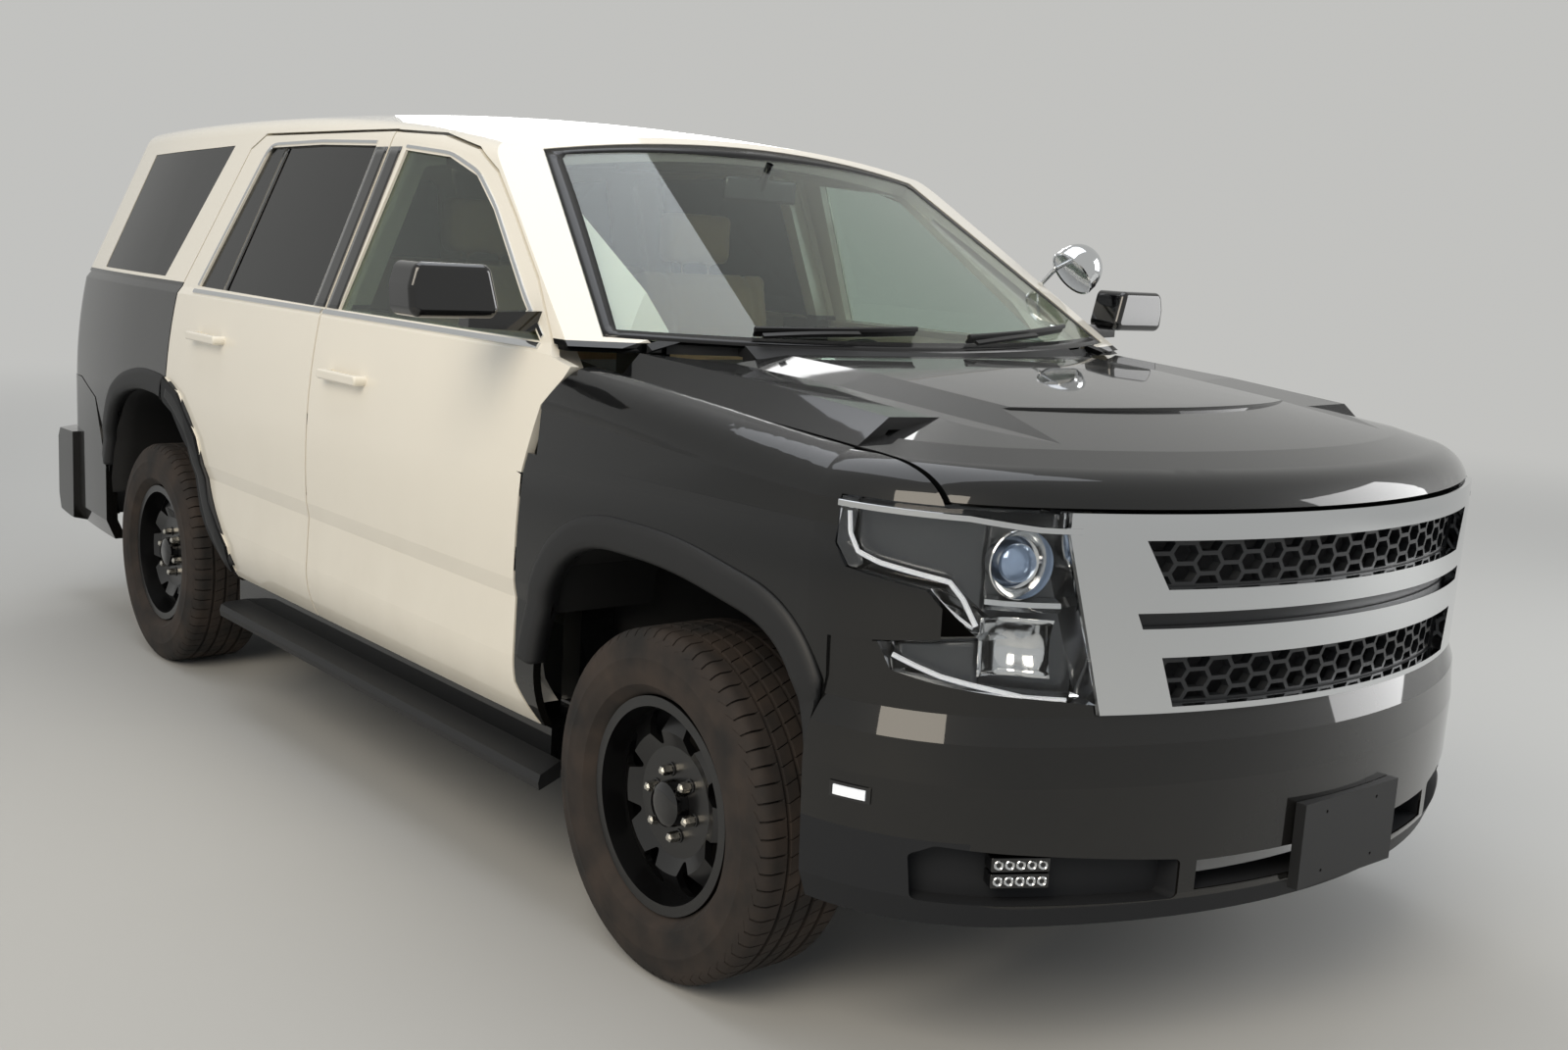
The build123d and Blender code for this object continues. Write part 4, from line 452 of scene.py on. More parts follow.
flank = [(-0.098, 0.2316), (-0.1225, 0.2520), (-0.1262, 0.2560), (-0.1270, 0.2610), (-0.1300, 0.2760),
         (-0.1309, 0.2900), (-0.1296, 0.3080), (-0.1302, 0.3100), (-0.1300, 0.3130), (-0.1288, 0.3150),
         (-0.1262, 0.3310), (-0.1222, 0.3460), (-0.1180, 0.3560), (-0.1100, 0.3660)]
walls = sorted([centre + step for centre in GROOVES for step in (-0.0055, -0.0040, 0.0040, 0.0055)])
across = sorted(walls + [-0.100, -0.090, -0.075, -0.040, 0.0, 0.040, 0.075, 0.090, 0.100])
crown = [(a, TYRE_R - 0.16 * max(abs(a) - 0.06, 0) ** 1.6) for a in across]
profile = np.array(flank + crown + [(-a, r) for a, r in flank[::-1]])
phase = np.array([0.00, 0.02, 0.11, 0.13, 0.30, 0.42, 0.44, 0.49, 0.51, 0.62, 0.80])
turns = (np.arange(PITCHES)[:, None] + phase[None, :]) / PITCHES * 2 * np.pi
part_of_pitch = np.tile(phase, PITCHES)

a, r = profile[:, 0][:, None], profile[:, 1][:, None]
tread = (np.abs(a) <= 0.118) & (r > 0.350)
round_groove = np.isclose(np.abs(np.abs(a)[..., None] - np.array([0.021, 0.060])).min(axis=-1), 0.004,
                          atol=6e-4)
cross_groove = tread & (np.abs(a) > 0.066) & (part_of_pitch >= 0.02) & (part_of_pitch <= 0.11)
sipe = (np.abs(a) < 0.0565) & tread & (part_of_pitch >= 0.44) & (part_of_pitch <= 0.49)
depth = np.maximum(np.where(round_groove & tread, 0.0085, 0.0), np.where(cross_groove, 0.0075, 0.0))
depth = np.maximum(depth, np.where(sipe, 0.0045, 0.0))
radius = r - depth
skew = a * 0.35 * (np.abs(a) < 0.07) / TYRE_R + np.sign(a) * 0.0245 * (np.abs(a) >= 0.07) / TYRE_R
angle = turns.reshape(1, -1) + skew * tread

WHEELS = {f"wheel_{end}_{side}": (sign, y) for end, y in AXLES.items()
          for side, sign in SIDES.items()}
for wheel, (sign, y) in WHEELS.items():
    x = sign * (HALF_TRACK + a) + 0 * angle
    points = np.stack([x, y + radius * np.cos(angle), TYRE_R + radius * np.sin(angle)], axis=-1)
    tyre = piece(f"{wheel}_tread_tyre", (points.reshape(-1, 3), quads(*points.shape[:2], closed=True)),
                 rubber, wheel, 28)
    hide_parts(f"{wheel}_tyre")
print("tyre points:", points.shape)

# %% [markdown]
# Six bright lug nuts sit on a 139.7 mm circle round a black centre cap. They are turned shapes: a nut is a
# profile turned in six steps with flat faces, and the cap the same with many steps.

# %% Nuts and caps
NUT_CIRCLE = 0.1397 / 2
nut = [(0.060, 0.0118), (0.080, 0.0118), (0.088, 0.0098), (0.0915, 0.0055), (0.0922, 0.0)]
seat = [(0.0605, 0.0155), (0.0645, 0.0150), (0.0655, 0.0118)]
cap = [(0.058, 0.0500), (0.080, 0.0500), (0.090, 0.0470), (0.0955, 0.0400), (0.0985, 0.0200), (0.0990, 0.0)]
for wheel, (sign, y) in WHEELS.items():
    centre = np.array([sign * HALF_TRACK, y, TYRE_R])
    places = [centre + NUT_CIRCLE * np.array([0, np.cos(t), np.sin(t)])
              for t in np.radians(15 + 60 * np.arange(6))]
    piece(f"{wheel}_lug_nuts", together([turned(nut, place, (sign, 0, 0), 6) for place in places]),
          bolt_zinc, wheel, 20)
    piece(f"{wheel}_nut_seats", together([turned(seat, place, (sign, 0, 0), 24) for place in places]),
          steel_black, wheel)
    piece(f"{wheel}_centre_cap", turned(cap, centre, (sign, 0, 0), 48), gloss_abs, wheel)

# %% [markdown]
# The body's outer line is a chain of tangent arcs in plan, moved in or out by n. On the nose and the corner
# one angle gives both the place and the outward direction. Beside the cabin the windows lean in, so x falls
# with height. These two functions place every lamp and trim piece on the skin.

# %% Skin lines
NOSE, NOSE_R, TURN = np.array([0.0, -1.06]), 1.5, np.radians(29.6)
CORNER_R = 0.44
CORNER = NOSE + (NOSE_R - CORNER_R) * np.array([np.sin(TURN), -np.cos(TURN)])
BELT_Z, HALF_WIDTH, BELT_N, LEAN = 1.285, 1.005, -0.055, 0.40517
FORE_Y, FORE_R, AFT_Y, AFT_R = -0.797, 17.4, 1.62, 8.0
SIDE_LINE = np.array([(0.400, -0.052), (0.470, -0.018), (0.515, -0.0085), (0.560, -0.005), (0.700, -0.012),
                      (0.742, -0.004), (0.900, 0.0), (1.040, -0.007), (1.150, -0.018), (1.262, -0.038),
                      (1.285, -0.055)])


def front(degrees, n, z):
    """A point on the nose or the corner: centre + (R + n)*(sin u, -cos u), from the angle u in degrees."""
    u, n, z = np.broadcast_arrays(np.radians(degrees), n, z)
    on_nose = (u < TURN)[..., None]
    centre = np.where(on_nose, NOSE, CORNER)
    reach = np.where(on_nose[..., 0], NOSE_R, CORNER_R) + n
    return np.stack([centre[..., 0] + reach * np.sin(u), centre[..., 1] - reach * np.cos(u), z], axis=-1)


def facing(degrees):
    """The outward direction (sin u, -cos u, 0) at the angle u in degrees."""
    u = np.radians(degrees)
    return np.stack([np.sin(u), -np.cos(u), 0 * u], axis=-1)


def side(y, z, out=0.0):
    """A point on the left side: half width + n(z) + out, less d^2/(2R) of the plan's arcs fore and aft."""
    y, z = np.broadcast_arrays(np.asarray(y, float), z)
    n = np.where(z < BELT_Z, np.interp(z, *SIDE_LINE.T), BELT_N - (z - BELT_Z) * LEAN)
    curve = np.maximum(FORE_Y - y, 0) ** 2 / (2 * FORE_R) + np.maximum(y - AFT_Y, 0) ** 2 / (2 * AFT_R)
    return np.stack([HALF_WIDTH + n - curve + out, y, z], axis=-1)


# %% [markdown]
# The wheel flares are moulded bands round the arches. The CAD model gives them straight stretches; here each
# corner becomes a parabola, and the band's section is a rolled inner lip, a flat face and a thin outer edge.
# A sheet of liner closes the rear wheel house between the inner liner and the quarter panel.

# %% Wheel flares
FRONT_ARCH = [(-2.052, 0.10), (-2.032, 0.640), (-1.945, 0.815), (-1.620, 0.878), (-1.330, 0.880),
              (-1.190, 0.790), (-1.125, 0.600), (-1.110, 0.10)]
REAR_ARCH = [(0.735, 0.10), (0.735, 0.455), (0.885, 0.585), (0.985, 0.775), (1.120, 0.880), (1.260, 0.922),
             (1.500, 0.925), (1.710, 0.868), (1.800, 0.740), (1.835, 0.560), (1.840, 0.10)]
FLARE_WIDTH = 0.072
FLARE_SECTION = [(0.002, -0.030), (0.000, -0.004), (0.002, 0.009), (0.009, 0.0142), (0.022, 0.0148),
                 (0.050, 0.0140), (0.064, 0.0105), (0.070, 0.0050), (0.072, -0.001)]


def rounded(outline, reach, count):
    """Evenly spaced points on an outline whose corners are parabolas (1-t)^2*a + 2t(1-t)*b + t^2*c."""
    outline = np.array(outline)
    line, share = [outline[:1]], np.linspace(0, 1, 9)[:, None]
    for before, corner, after in zip(outline, outline[1:], outline[2:]):
        ends = [corner + (end - corner) * min(reach / np.linalg.norm(end - corner), 0.48)
                for end in (before, after)]
        line.append((1 - share) ** 2 * ends[0] + 2 * share * (1 - share) * corner + share ** 2 * ends[1])
    line = np.concatenate(line + [outline[-1:]])
    run = np.concatenate([[0], np.cumsum(np.linalg.norm(np.diff(line, axis=0), axis=1))])
    even = np.linspace(0, run[-1], count)
    return np.stack([np.interp(even, run, line[:, 0]), np.interp(even, run, line[:, 1])], axis=1)


def band(outline, keep, ahead, behind, inner=0.0, wider=0.0, proud=0.0):
    """The flare's grid: outline + across*normal, trimmed to y = ahead(z) and y = behind(z) at its ends."""
    line = rounded(outline, 0.11, 260)
    along = np.gradient(line, axis=0)
    normal = np.stack([-along[:, 1], along[:, 0]], axis=1) / np.linalg.norm(along, axis=1, keepdims=True)
    line, normal = line[keep(line)], normal[keep(line)]
    across, out = np.array(FLARE_SECTION).T[:, :, None]
    across = inner + across * (FLARE_WIDTH + wider - inner) / FLARE_WIDTH
    out = np.maximum(out, -0.001 if inner else -1) + proud
    y, z = line[:, 0] + across * normal[:, 0], line[:, 1] + across * normal[:, 1]
    y = np.clip(y, np.interp(z, *np.array(ahead).T), np.interp(z, *np.array(behind).T))
    return sheet(side(y, z, out))


DOOR_EDGE_Y = 1.238
front_band = band(FRONT_ARCH, lambda line: line[:, 1] > 0.562,
                  [(0.56, -2.037), (0.640, -2.036), (0.760, -2.060), (1.0, -2.062)],
                  [(0.500, -1.046), (0.720, -1.036), (1.000, -1.060)])
rear_band = band(REAR_ARCH, lambda line: (line[:, 0] > 1.20) & (line[:, 1] > 0.602),
                 [(0.60, DOOR_EDGE_Y), (1.03, DOOR_EDGE_Y)], [(0.600, 1.845), (0.837, 1.974)])
flares = piece("fender_flare_bands", on_both_sides(together([front_band, rear_band])), grained, crease=50,
               thick_mm=1.5)
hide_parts("fender_flares")
door_band = band(REAR_ARCH, lambda line: (line[:, 0] > 0.72) & (line[:, 0] < 1.20) & (line[:, 1] > 0.425),
                 [(0.42, 0.60), (1.03, 0.60)], [(0.42, 1.214), (1.03, 1.214)],
                 inner=0.013, wider=0.004, proud=0.0012)
for name, sign in SIDES.items():
    piece(f"door_rear_{name}_flare_band", handed(door_band, sign), grained, f"door_rear_{name}", crease=50,
          thick_mm=1.5)

liner_line = rounded(REAR_ARCH, 0.11, 260)
liner_line = liner_line[(liner_line[:, 0] > 1.24) & (liner_line[:, 1] > 0.50)]
inside = np.stack([np.full(len(liner_line), 0.60), liner_line[:, 0], liner_line[:, 1] + 0.004], axis=1)
outside = side(liner_line[:, 0], liner_line[:, 1] + 0.004, -0.012)
share = np.linspace(0, 1, 6)[:, None, None]
piece("rear_wheel_house_liners", on_both_sides(sheet(inside + share * (outside - inside))), liner_plastic,
      thick_mm=2)

# %% [markdown]
# A headlamp is a clear cover over a dark housing. The CAD solid is the cover. Inside it stand a housing wall,
# a projector lens in a silver bowl, a square low reflector and a light guide that follows the outer edge.

# %% Headlamp internals
housing_black, _ = finish("lamp_housing_polycarbonate", "55585C", 0.3, Metallic=0.5)
guide_white, _ = finish("light_guide_acrylic", "EEF1F4", 0.15, Emission_Color=linear("F2F6FF"),
                        Emission_Strength=0.25)
projector_glass, _ = finish("projector_lens_glass", "9FB6D8", 0.02, Coat_Weight=1.0, Metallic=0.35)


def wall(degrees, low, high, n, rows=8):
    """A sheet between two heights over a run of angles."""
    spread = np.linspace(0, 1, rows)[:, None]
    low, high = np.broadcast_to(low, degrees.shape), np.broadcast_to(high, degrees.shape)
    return sheet(front(degrees[None, :], n, low + spread * (high - low)))


inner, outer, lower = np.linspace(25.8, 40.8, 16), np.linspace(40.8, 76, 28), np.linspace(40.8, 62, 12)
walls_inside = [wall(inner, np.interp(inner, [25.8, 40.8], [0.752, 0.772]), 1.086, -0.060),
                wall(outer, np.interp(outer, [40.8, 49.0, 62, 74, 76], [0.872, 0.958, 0.972, 0.985, 1.02]),
                     1.086, -0.060),
                wall(lower, np.interp(lower, [40.8, 55, 62], [0.770, 0.795, 0.815]),
                     np.interp(lower, [40.8, 62], [0.856, 0.838]), -0.050)]
strip_run = np.linspace(26.6, 78, 60)
strip_line = front(strip_run, 0.0005, np.interp(strip_run, [27.95, 45.8, 79], [1.067, 1.082, 1.084]))
piece("headlamp_brow_strips",
      on_both_sides(swept(strip_line, facing(strip_run),
                          [(0, -0.006), (0.0025, -0.005), (0.0025, 0.005), (0, 0.006)])),
      chrome)
piece("headlamp_housings", on_both_sides(together(walls_inside)), housing_black, thick_mm=2)
bar = [(-0.050, -0.012), (-0.010, -0.009), (-0.006, 0.0), (-0.010, 0.009), (-0.050, 0.012)]
shelf_run = np.linspace(27.5, 41, 14)
shelf = front(shelf_run, -0.004, np.linspace(0.926, 0.930, 14))
piece("headlamp_shelves", on_both_sides(swept(shelf, facing(shelf_run), bar)), lamp_silver)
bowl = [(-0.052, 0.020), (-0.040, 0.048), (-0.014, 0.060), (-0.010, 0.062), (-0.012, 0.064), (-0.056, 0.050)]
lens_profile = [(-0.030, 0.036), (-0.022, 0.034), (-0.016, 0.026), (-0.012, 0.013), (-0.011, 0.0)]
spot = front(32.5, 0.0, 1.004)
for name, outline, material in (("bowls", bowl, lamp_silver), ("lenses", lens_profile, projector_glass)):
    piece(f"headlamp_projector_{name}", on_both_sides(turned(outline, spot, facing(18), 48)), material)
low_u = np.linspace(28.0, 41.5, 12)
low_bowl = front(low_u[None, :], -0.050 + 0.028 * np.abs(np.linspace(-1, 1, 12))[None, :] ** 2
                 + 0.020 * np.abs(np.linspace(-1, 1, 10))[:, None] ** 2,
                 np.linspace(0.800, 0.906, 10)[:, None])
piece("headlamp_low_reflectors", on_both_sides(sheet(low_bowl)), lamp_silver, thick_mm=1.5)
guide_line = np.array([(76.0, 1.070), (75.5, 1.030), (73.0, 0.998), (67.0, 0.984), (58.0, 0.974),
                       (49.5, 0.964), (46.0, 0.935), (42.5, 0.888)])
low_guide = np.array([(62.0, 0.822), (56.0, 0.806), (50.0, 0.792), (44.0, 0.783), (38.0, 0.775),
                      (32.0, 0.766), (26.5, 0.757)])
strip = [(0.0, -0.005), (0.004, -0.003), (0.004, 0.003), (0.0, 0.005)]
guides = []
for line, n in ((guide_line, -0.018), (low_guide, -0.016)):
    steps = np.linspace(0, len(line) - 1, 40)
    u, z = (np.interp(steps, np.arange(len(line)), line[:, k]) for k in (0, 1))
    guides.append(swept(front(u, n, z), facing(u), strip))
piece("headlamp_light_guides", on_both_sides(together(guides)), guide_white)

# %% [markdown]
# Lamps and reflectors on the bumper: a side marker on each corner and rows of small reflectors on the stacked
# lamps. Each marker is a clear block on the bumper's curve in a dark frame.

# %% Bumper lamps
marker_u = np.linspace(63.5, 74.0, 10)
marker_out = facing(marker_u)
frame_section = [(-0.004, -0.016), (0.003, -0.015), (0.003, 0.015), (-0.004, 0.016)]
lens_section = [(0.0, -0.010), (0.006, -0.009), (0.006, 0.009), (0.0, 0.010)]
marker_line = front(marker_u, 0.0165, 0.562)
piece("side_marker_frames", on_both_sides(swept(marker_line, marker_out, frame_section)), gloss_abs)
piece("side_marker_lenses", on_both_sides(swept(marker_line[1:-1], marker_out[1:-1], lens_section)),
      guide_white)
CELL_TURN = 29.0
cell_out, cell_way = facing(CELL_TURN), facing(CELL_TURN + 90)
cell = [(-0.004, 0.0095), (0.0010, 0.0095), (0.0025, 0.0080), (-0.0015, 0.0030), (-0.0020, 0.0)]
cells = [turned(cell, front(CELL_TURN, 0.0063, z) + cell_way * step, cell_out, 20)
         for z in (0.424, 0.455) for step in np.linspace(-0.042, 0.042, 5)]
piece("stacked_lamp_cells", on_both_sides(together(cells)), lamp_silver)

# %% [markdown]
# The side windows sit in bright trims: a moulding along the belt and a thin surround over the glass.
# Between the doors' windows the pillar is covered in gloss black. Each piece belongs to its own door, so it
# opens with it.

# %% Window trims
FRONT_GLASS = np.array([(-1.025, 1.287), (-0.890, 1.371), (-0.600, 1.575), (-0.450, 1.660),
                        (-0.270, 1.708), (-0.002, 1.728)])
REAR_GLASS = np.array([(0.190, 1.742), (0.560, 1.748), (0.940, 1.741), (1.065, 1.292)])
trim_section = [(-0.001, -0.0055), (0.0030, -0.0045), (0.0040, 0.0), (0.0030, 0.0045), (-0.001, 0.0055)]
belt_section = [(-0.001, -0.0085), (0.0050, -0.0070), (0.0068, 0.0), (0.0050, 0.0070), (-0.001, 0.0085)]
window_out = np.array([np.cos(np.arctan(LEAN)), 0, np.sin(np.arctan(LEAN))])
DOORS = {"front": (FRONT_GLASS, (-1.035, 0.097), (0.026, 0.098)),
         "rear": (REAR_GLASS, (0.113, 1.080), (0.112, 0.184))}


def smoothed(line, out, step=0.02, grow=0.010):
    """A polyline on the window plane, resampled every step and moved grow away from the glass's middle."""
    run = np.concatenate([[0], np.cumsum(np.linalg.norm(np.diff(line, axis=0), axis=1))])
    at = np.linspace(0, run[-1], int(run[-1] / step))
    y, z = (np.interp(at, run, line[:, k]) for k in (0, 1))
    for _ in range(3):
        y[1:-1], z[1:-1] = (y[:-2] + 2 * y[1:-1] + y[2:]) / 4, (z[:-2] + 2 * z[1:-1] + z[2:]) / 4
    along = np.gradient(np.stack([y, z], axis=-1), axis=0)
    along /= np.linalg.norm(along, axis=1, keepdims=True)
    return side(y - along[:, 1] * grow, z + along[:, 0] * grow, out)


for end, (glass, belt, post) in DOORS.items():
    surround = swept(smoothed(glass, 0.0), window_out, trim_section)
    belt_y = np.linspace(*belt, 24)
    moulding = swept(side(belt_y, np.full(24, 1.2755)), (0.86, 0, 0.5), belt_section)
    post_y, post_z = np.meshgrid(np.linspace(*post, 6), np.linspace(1.288, 1.738, 20))
    cover = sheet(side(post_y, post_z, 0.0016))
    for name, sign in SIDES.items():
        door = f"door_{end}_{name}"
        for kind, shape, material, thick in (("surround", surround, chrome, 0),
                                             ("belt_moulding", moulding, chrome, 0),
                                             ("pillar_cover", cover, gloss_abs, 1.6)):
            piece(f"{door}_{kind}", handed(shape, sign), material, door, thick_mm=thick)

bar_y, bar_z = np.meshgrid(np.linspace(0, 0.030, 4), np.linspace(1.290, 1.740, 20))
division = side(bar_y + 0.845 - (bar_z - 1.29) * 0.10, bar_z, -0.006)
for name, sign in SIDES.items():
    piece(f"door_rear_{name}_division_bar", handed(sheet(division), sign), gloss_abs, f"door_rear_{name}",
          thick_mm=2)

# %% [markdown]
# The windshield is part of a cylinder that leans back 31 degrees. Its black printed border, the wipers and
# the inner mirror are placed on it by x and by the distance s along the slope.

# %% Windshield pieces
SLOPE, SCREEN_R, SCREEN_Y, SCREEN_Z = np.radians(31.0), 3.5, -0.556, 1.788
FOOT_X, FOOT_S, FOOT_BOW, HEAD_X, HEAD_S = 0.861, -0.756, 0.206, 0.650, 0.004


def screen(x, s, out=0.0):
    """A windshield point: s along the slope, sunk by R - sqrt(R^2 - x^2), and out above its surface."""
    x, s = np.broadcast_arrays(np.asarray(x, float), s)
    sink = SCREEN_R - np.sqrt(SCREEN_R ** 2 - x ** 2) - out
    y = SCREEN_Y + s * np.cos(SLOPE) + sink * np.sin(SLOPE)
    return np.stack([x, y, SCREEN_Z + s * np.sin(SLOPE) - sink * np.cos(SLOPE)], axis=-1)


def foot(x):
    """The s of the windshield's lower edge, a parabola: foot - bow*(1 - (x/half)^2)."""
    return FOOT_S - FOOT_BOW * (1 - (x / FOOT_X) ** 2)


foot_x = np.linspace(-FOOT_X, FOOT_X, 60)
corners = [(FOOT_X, FOOT_S), (HEAD_X, HEAD_S), (-HEAD_X, HEAD_S), (-FOOT_X, FOOT_S)]
runs = [np.linspace(start, end, count)[1:] for start, end, count in zip(corners, corners[1:], (30, 40, 30))]
edge = np.concatenate([np.stack([foot_x, foot(foot_x)], axis=-1), *runs])[:-1]
middle = np.array([0.0, -0.42])
pull = np.minimum(0.045 / np.linalg.norm(edge - middle, axis=1), 0.2)[:, None]
pull = np.where(edge[:, 1:] > 0, pull * 1.3, pull)
border = np.stack([edge + (middle - edge) * 0.004, edge + (middle - edge) * pull])
border = screen(border[..., 0], border[..., 1], -0.0014)
frit, _ = finish("black_ceramic_frit", "08080A", 0.25)
piece("windshield_border", (border.reshape(-1, 3), quads(2, border.shape[1], closed=True)), frit,
      thick_mm=0.3)

blade = [(0.000, -0.003), (0.012, -0.002), (0.016, -0.006), (0.024, -0.003), (0.024, 0.003), (0.016, 0.006),
         (0.012, 0.002), (0.000, 0.003)]
arm = [(0.0, -0.007), (0.007, -0.006), (0.007, 0.006), (0.0, 0.007)]
wiper_shapes = []
for pivot, tip in (((-0.52, -0.925), (-0.06, -0.86)), ((0.10, -0.985), (0.62, -0.80))):
    t = np.linspace(0, 1, 24)
    ends = np.array([pivot, tip])
    line = ends[0] + t[:, None] * (ends[1] - ends[0])
    foot_here = foot(line[:, 0])
    out_here = (0, -np.sin(SLOPE), np.cos(SLOPE))
    wiper_shapes.append(swept(screen(line[:, 0], foot_here + 0.045 + 0.03 * t, 0.0), out_here, blade))
    wiper_shapes.append(swept(screen(line[:14, 0], foot_here[:14] + 0.014 + 0.046 * t[:14],
                                     0.018 + 0.004 * np.sin(t[:14] * 5)), out_here, arm))
wiper_black, _ = finish("black_coated_wiper_steel", "0B0B0C", 0.4)
piece("wipers", together(wiper_shapes), wiper_black)
mirror_spot = screen(0.0, -0.10, -0.075)
piece("inner_mirror", boxed(mirror_spot - (0.125, 0.010, 0.032), mirror_spot + (0.125, 0.012, 0.032)),
      gloss_abs, edge_mm=8)
piece("inner_mirror_stalk", turned([(0, 0.011), (0.085, 0.011)], mirror_spot, (0, -0.45, 0.89), 16),
      gloss_abs)

# %% [markdown]
# The tail is nearly flat, an arc of 5.2 m radius in plan. The liftgate carries a wiper at the foot of its
# glass, and each tail lamp has a clear reversing lens low down.

# %% Tail pieces
TAIL_Y, TAIL_R = 2.495, 5.2
TAIL_LINE = np.array([(0.930, 0.003), (1.080, 0.0), (1.262, -0.038), (1.285, -0.042), (1.850, -0.185)])


def tail(x, z, out=0.0):
    """A point on the tail's skin: y = TAIL_Y + n(z) - x^2/(2R) + out."""
    x, z = np.broadcast_arrays(np.asarray(x, float), z)
    return np.stack([x, TAIL_Y + np.interp(z, *TAIL_LINE.T) - x ** 2 / (2 * TAIL_R) + out, z], axis=-1)


t = np.linspace(0, 1, 20)
rear_arm = swept(tail(0.02 + 0.20 * t, 1.352 + 0.016 * t, 0.016), (0, 1, 0),
                 [(0, -0.008), (0.006, -0.005), (0.006, 0.005), (0, 0.008)])
rear_blade = swept(tail(0.06 + 0.34 * t, 1.362 + 0.022 * t, 0.004), (0, 1, 0),
                   [(0, -0.003), (0.011, -0.006), (0.014, 0), (0.011, 0.006), (0, 0.003)])
rear_pivot = turned([(0.0, 0.017), (0.022, 0.016), (0.027, 0.010), (0.028, 0.0)], tail(0.02, 1.352),
                    (0, 1, 0), 24)
piece("rear_wiper", together([rear_arm, rear_blade, rear_pivot]), wiper_black, "liftgate")
reverse_clear, _ = finish("reversing_lens_acrylic", "E4E6E8", 0.1, Coat_Weight=1.0)
lens_z, lens_x = np.linspace(0.958, 1.022, 6)[:, None], np.linspace(0.717, 0.790, 12)[None, :]
piece("reversing_lenses", on_both_sides(sheet(tail(lens_x, lens_z, 0.002))), reverse_clear, thick_mm=1.5)

# %% [markdown]
# Mirror glass on the door mirrors, a chromed rim and a lens on the spotlight finish the outside.

# %% Mirrors and spotlight
mirror_silver, _ = finish("silvered_mirror_glass", "E6EAEC", 0.01, Metallic=1.0)
mirror_glass = boxed((1.085, -0.9345, 1.348), (1.258, -0.9315, 1.440))
for name, sign in SIDES.items():
    piece(f"mirror_{name}_glass", handed(mirror_glass, sign), mirror_silver, f"door_front_{name}", edge_mm=1)
SPOT_CENTRE, SPOT_AIM = (0.982, -0.926, 1.509), (-0.72, 0.16, -0.60)
spot_rim = [(0.008, 0.0765), (0.020, 0.0770), (0.0235, 0.0745), (0.0215, 0.0700)]
spot_lens = [(0.0203, 0.0725), (0.0245, 0.0500), (0.0262, 0.0250), (0.0268, 0.0)]
for name, outline, material in (("rim", spot_rim, chrome), ("lens", spot_lens, lamp_silver)):
    piece(f"spotlight_{name}", turned(outline, SPOT_CENTRE, SPOT_AIM, 64), material)

# %% [markdown]
# Seats are foam in a sewn cover, so their faces crown and their edges round off. The block shapes are
# remeshed evenly and blown up by a cloth simulation without gravity. The pressure would blow them up much
# further than a seat goes, so each point's move is capped. The seams come last, as grooves.

# %% Seats


CUSHION_FOOT, SWELL_CAP, SHRINK = 0.77, 0.022, 0.006
SEAM_DEPTH, SEAM_FROM_CENTRE, BACK_SEAM_Z = 0.007, 0.165, 1.19


def read(items, field):
    """One field of all a mesh's vertices, or of their normals, as an (n, 3) array."""
    values = np.empty(len(items) * 3)
    items.foreach_get(field, values)
    return values.reshape(-1, 3)


def upholstered(node, centres, voxel):
    """A swollen copy of a seat node: shrunk 6 mm, remeshed, blown up by cloth pressure, capped, seamed."""
    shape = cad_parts[node].data.copy()
    weld(shape, 1e-5)
    places, normals = read(shape.vertices, "co"), read(shape.vertex_normals, "vector")
    box_low, box_high = places.min(axis=0), places.max(axis=0)
    shape.vertices.foreach_set("co", (places - SHRINK * normals).ravel())
    seat = bpy.data.objects.new(f"{node}_upholstery", shape)
    scene.collection.objects.link(seat)
    remesh = seat.modifiers.new("remesh", "REMESH")
    remesh.mode, remesh.voxel_size = "VOXEL", voxel
    even = bpy.data.meshes.new_from_object(seat.evaluated_get(bpy.context.evaluated_depsgraph_get()))
    seat.modifiers.clear()
    seat.data = even
    start = read(even.vertices, "co")
    still = seat.vertex_groups.new(name="still")
    still.add(np.nonzero(start[:, 2] < CUSHION_FOOT)[0].tolist(), 1.0, "REPLACE")
    cloth = seat.modifiers.new("cloth", "CLOTH")
    cloth.settings.vertex_group_mass = "still"
    cloth.settings.use_pressure = True
    cloth.settings.uniform_pressure_force = 4.0
    cloth.settings.effector_weights.gravity = 0.0
    cloth.settings.quality = 4
    for number in range(1, 21):
        scene.frame_set(number)
    swollen = seat.evaluated_get(bpy.context.evaluated_depsgraph_get()).to_mesh()
    move = read(swollen.vertices, "co") - start
    seat.modifiers.clear()
    scene.frame_set(1)
    size = np.linalg.norm(move, axis=1, keepdims=True)
    place = start + move * np.minimum(1, SWELL_CAP / np.maximum(size, 1e-9))
    even.vertices.foreach_set("co", place.ravel())
    even.update()
    from_centre = np.abs(place[:, :1] - np.array(centres)[None, :]).min(axis=1) - SEAM_FROM_CENTRE
    seam = np.exp(-(from_centre / 0.009) ** 2) + np.exp(-((place[:, 2] - BACK_SEAM_Z) / 0.010) ** 2)
    seam = np.minimum(seam, 1.0) * (place[:, 2] > CUSHION_FOOT + 0.03)
    place = place - SEAM_DEPTH * seam[:, None] * read(even.vertex_normals, "vector")
    place = np.clip(place, box_low - SHRINK, box_high + SHRINK)
    even.vertices.foreach_set("co", place.ravel())
    even.polygons.foreach_set("use_smooth", np.ones(len(even.polygons), dtype=bool))
    even.materials.clear()
    even.materials.append(seat_cloth)
    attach(seat, "body")
    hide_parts(node)
    print(node, "points:", len(place), "largest move mm:", round(float(size.max() * 1000), 1))


upholstered("front_seats", (-0.395, 0.395), 0.011)
upholstered("rear_seat", (-0.32, 0.32), 0.013)

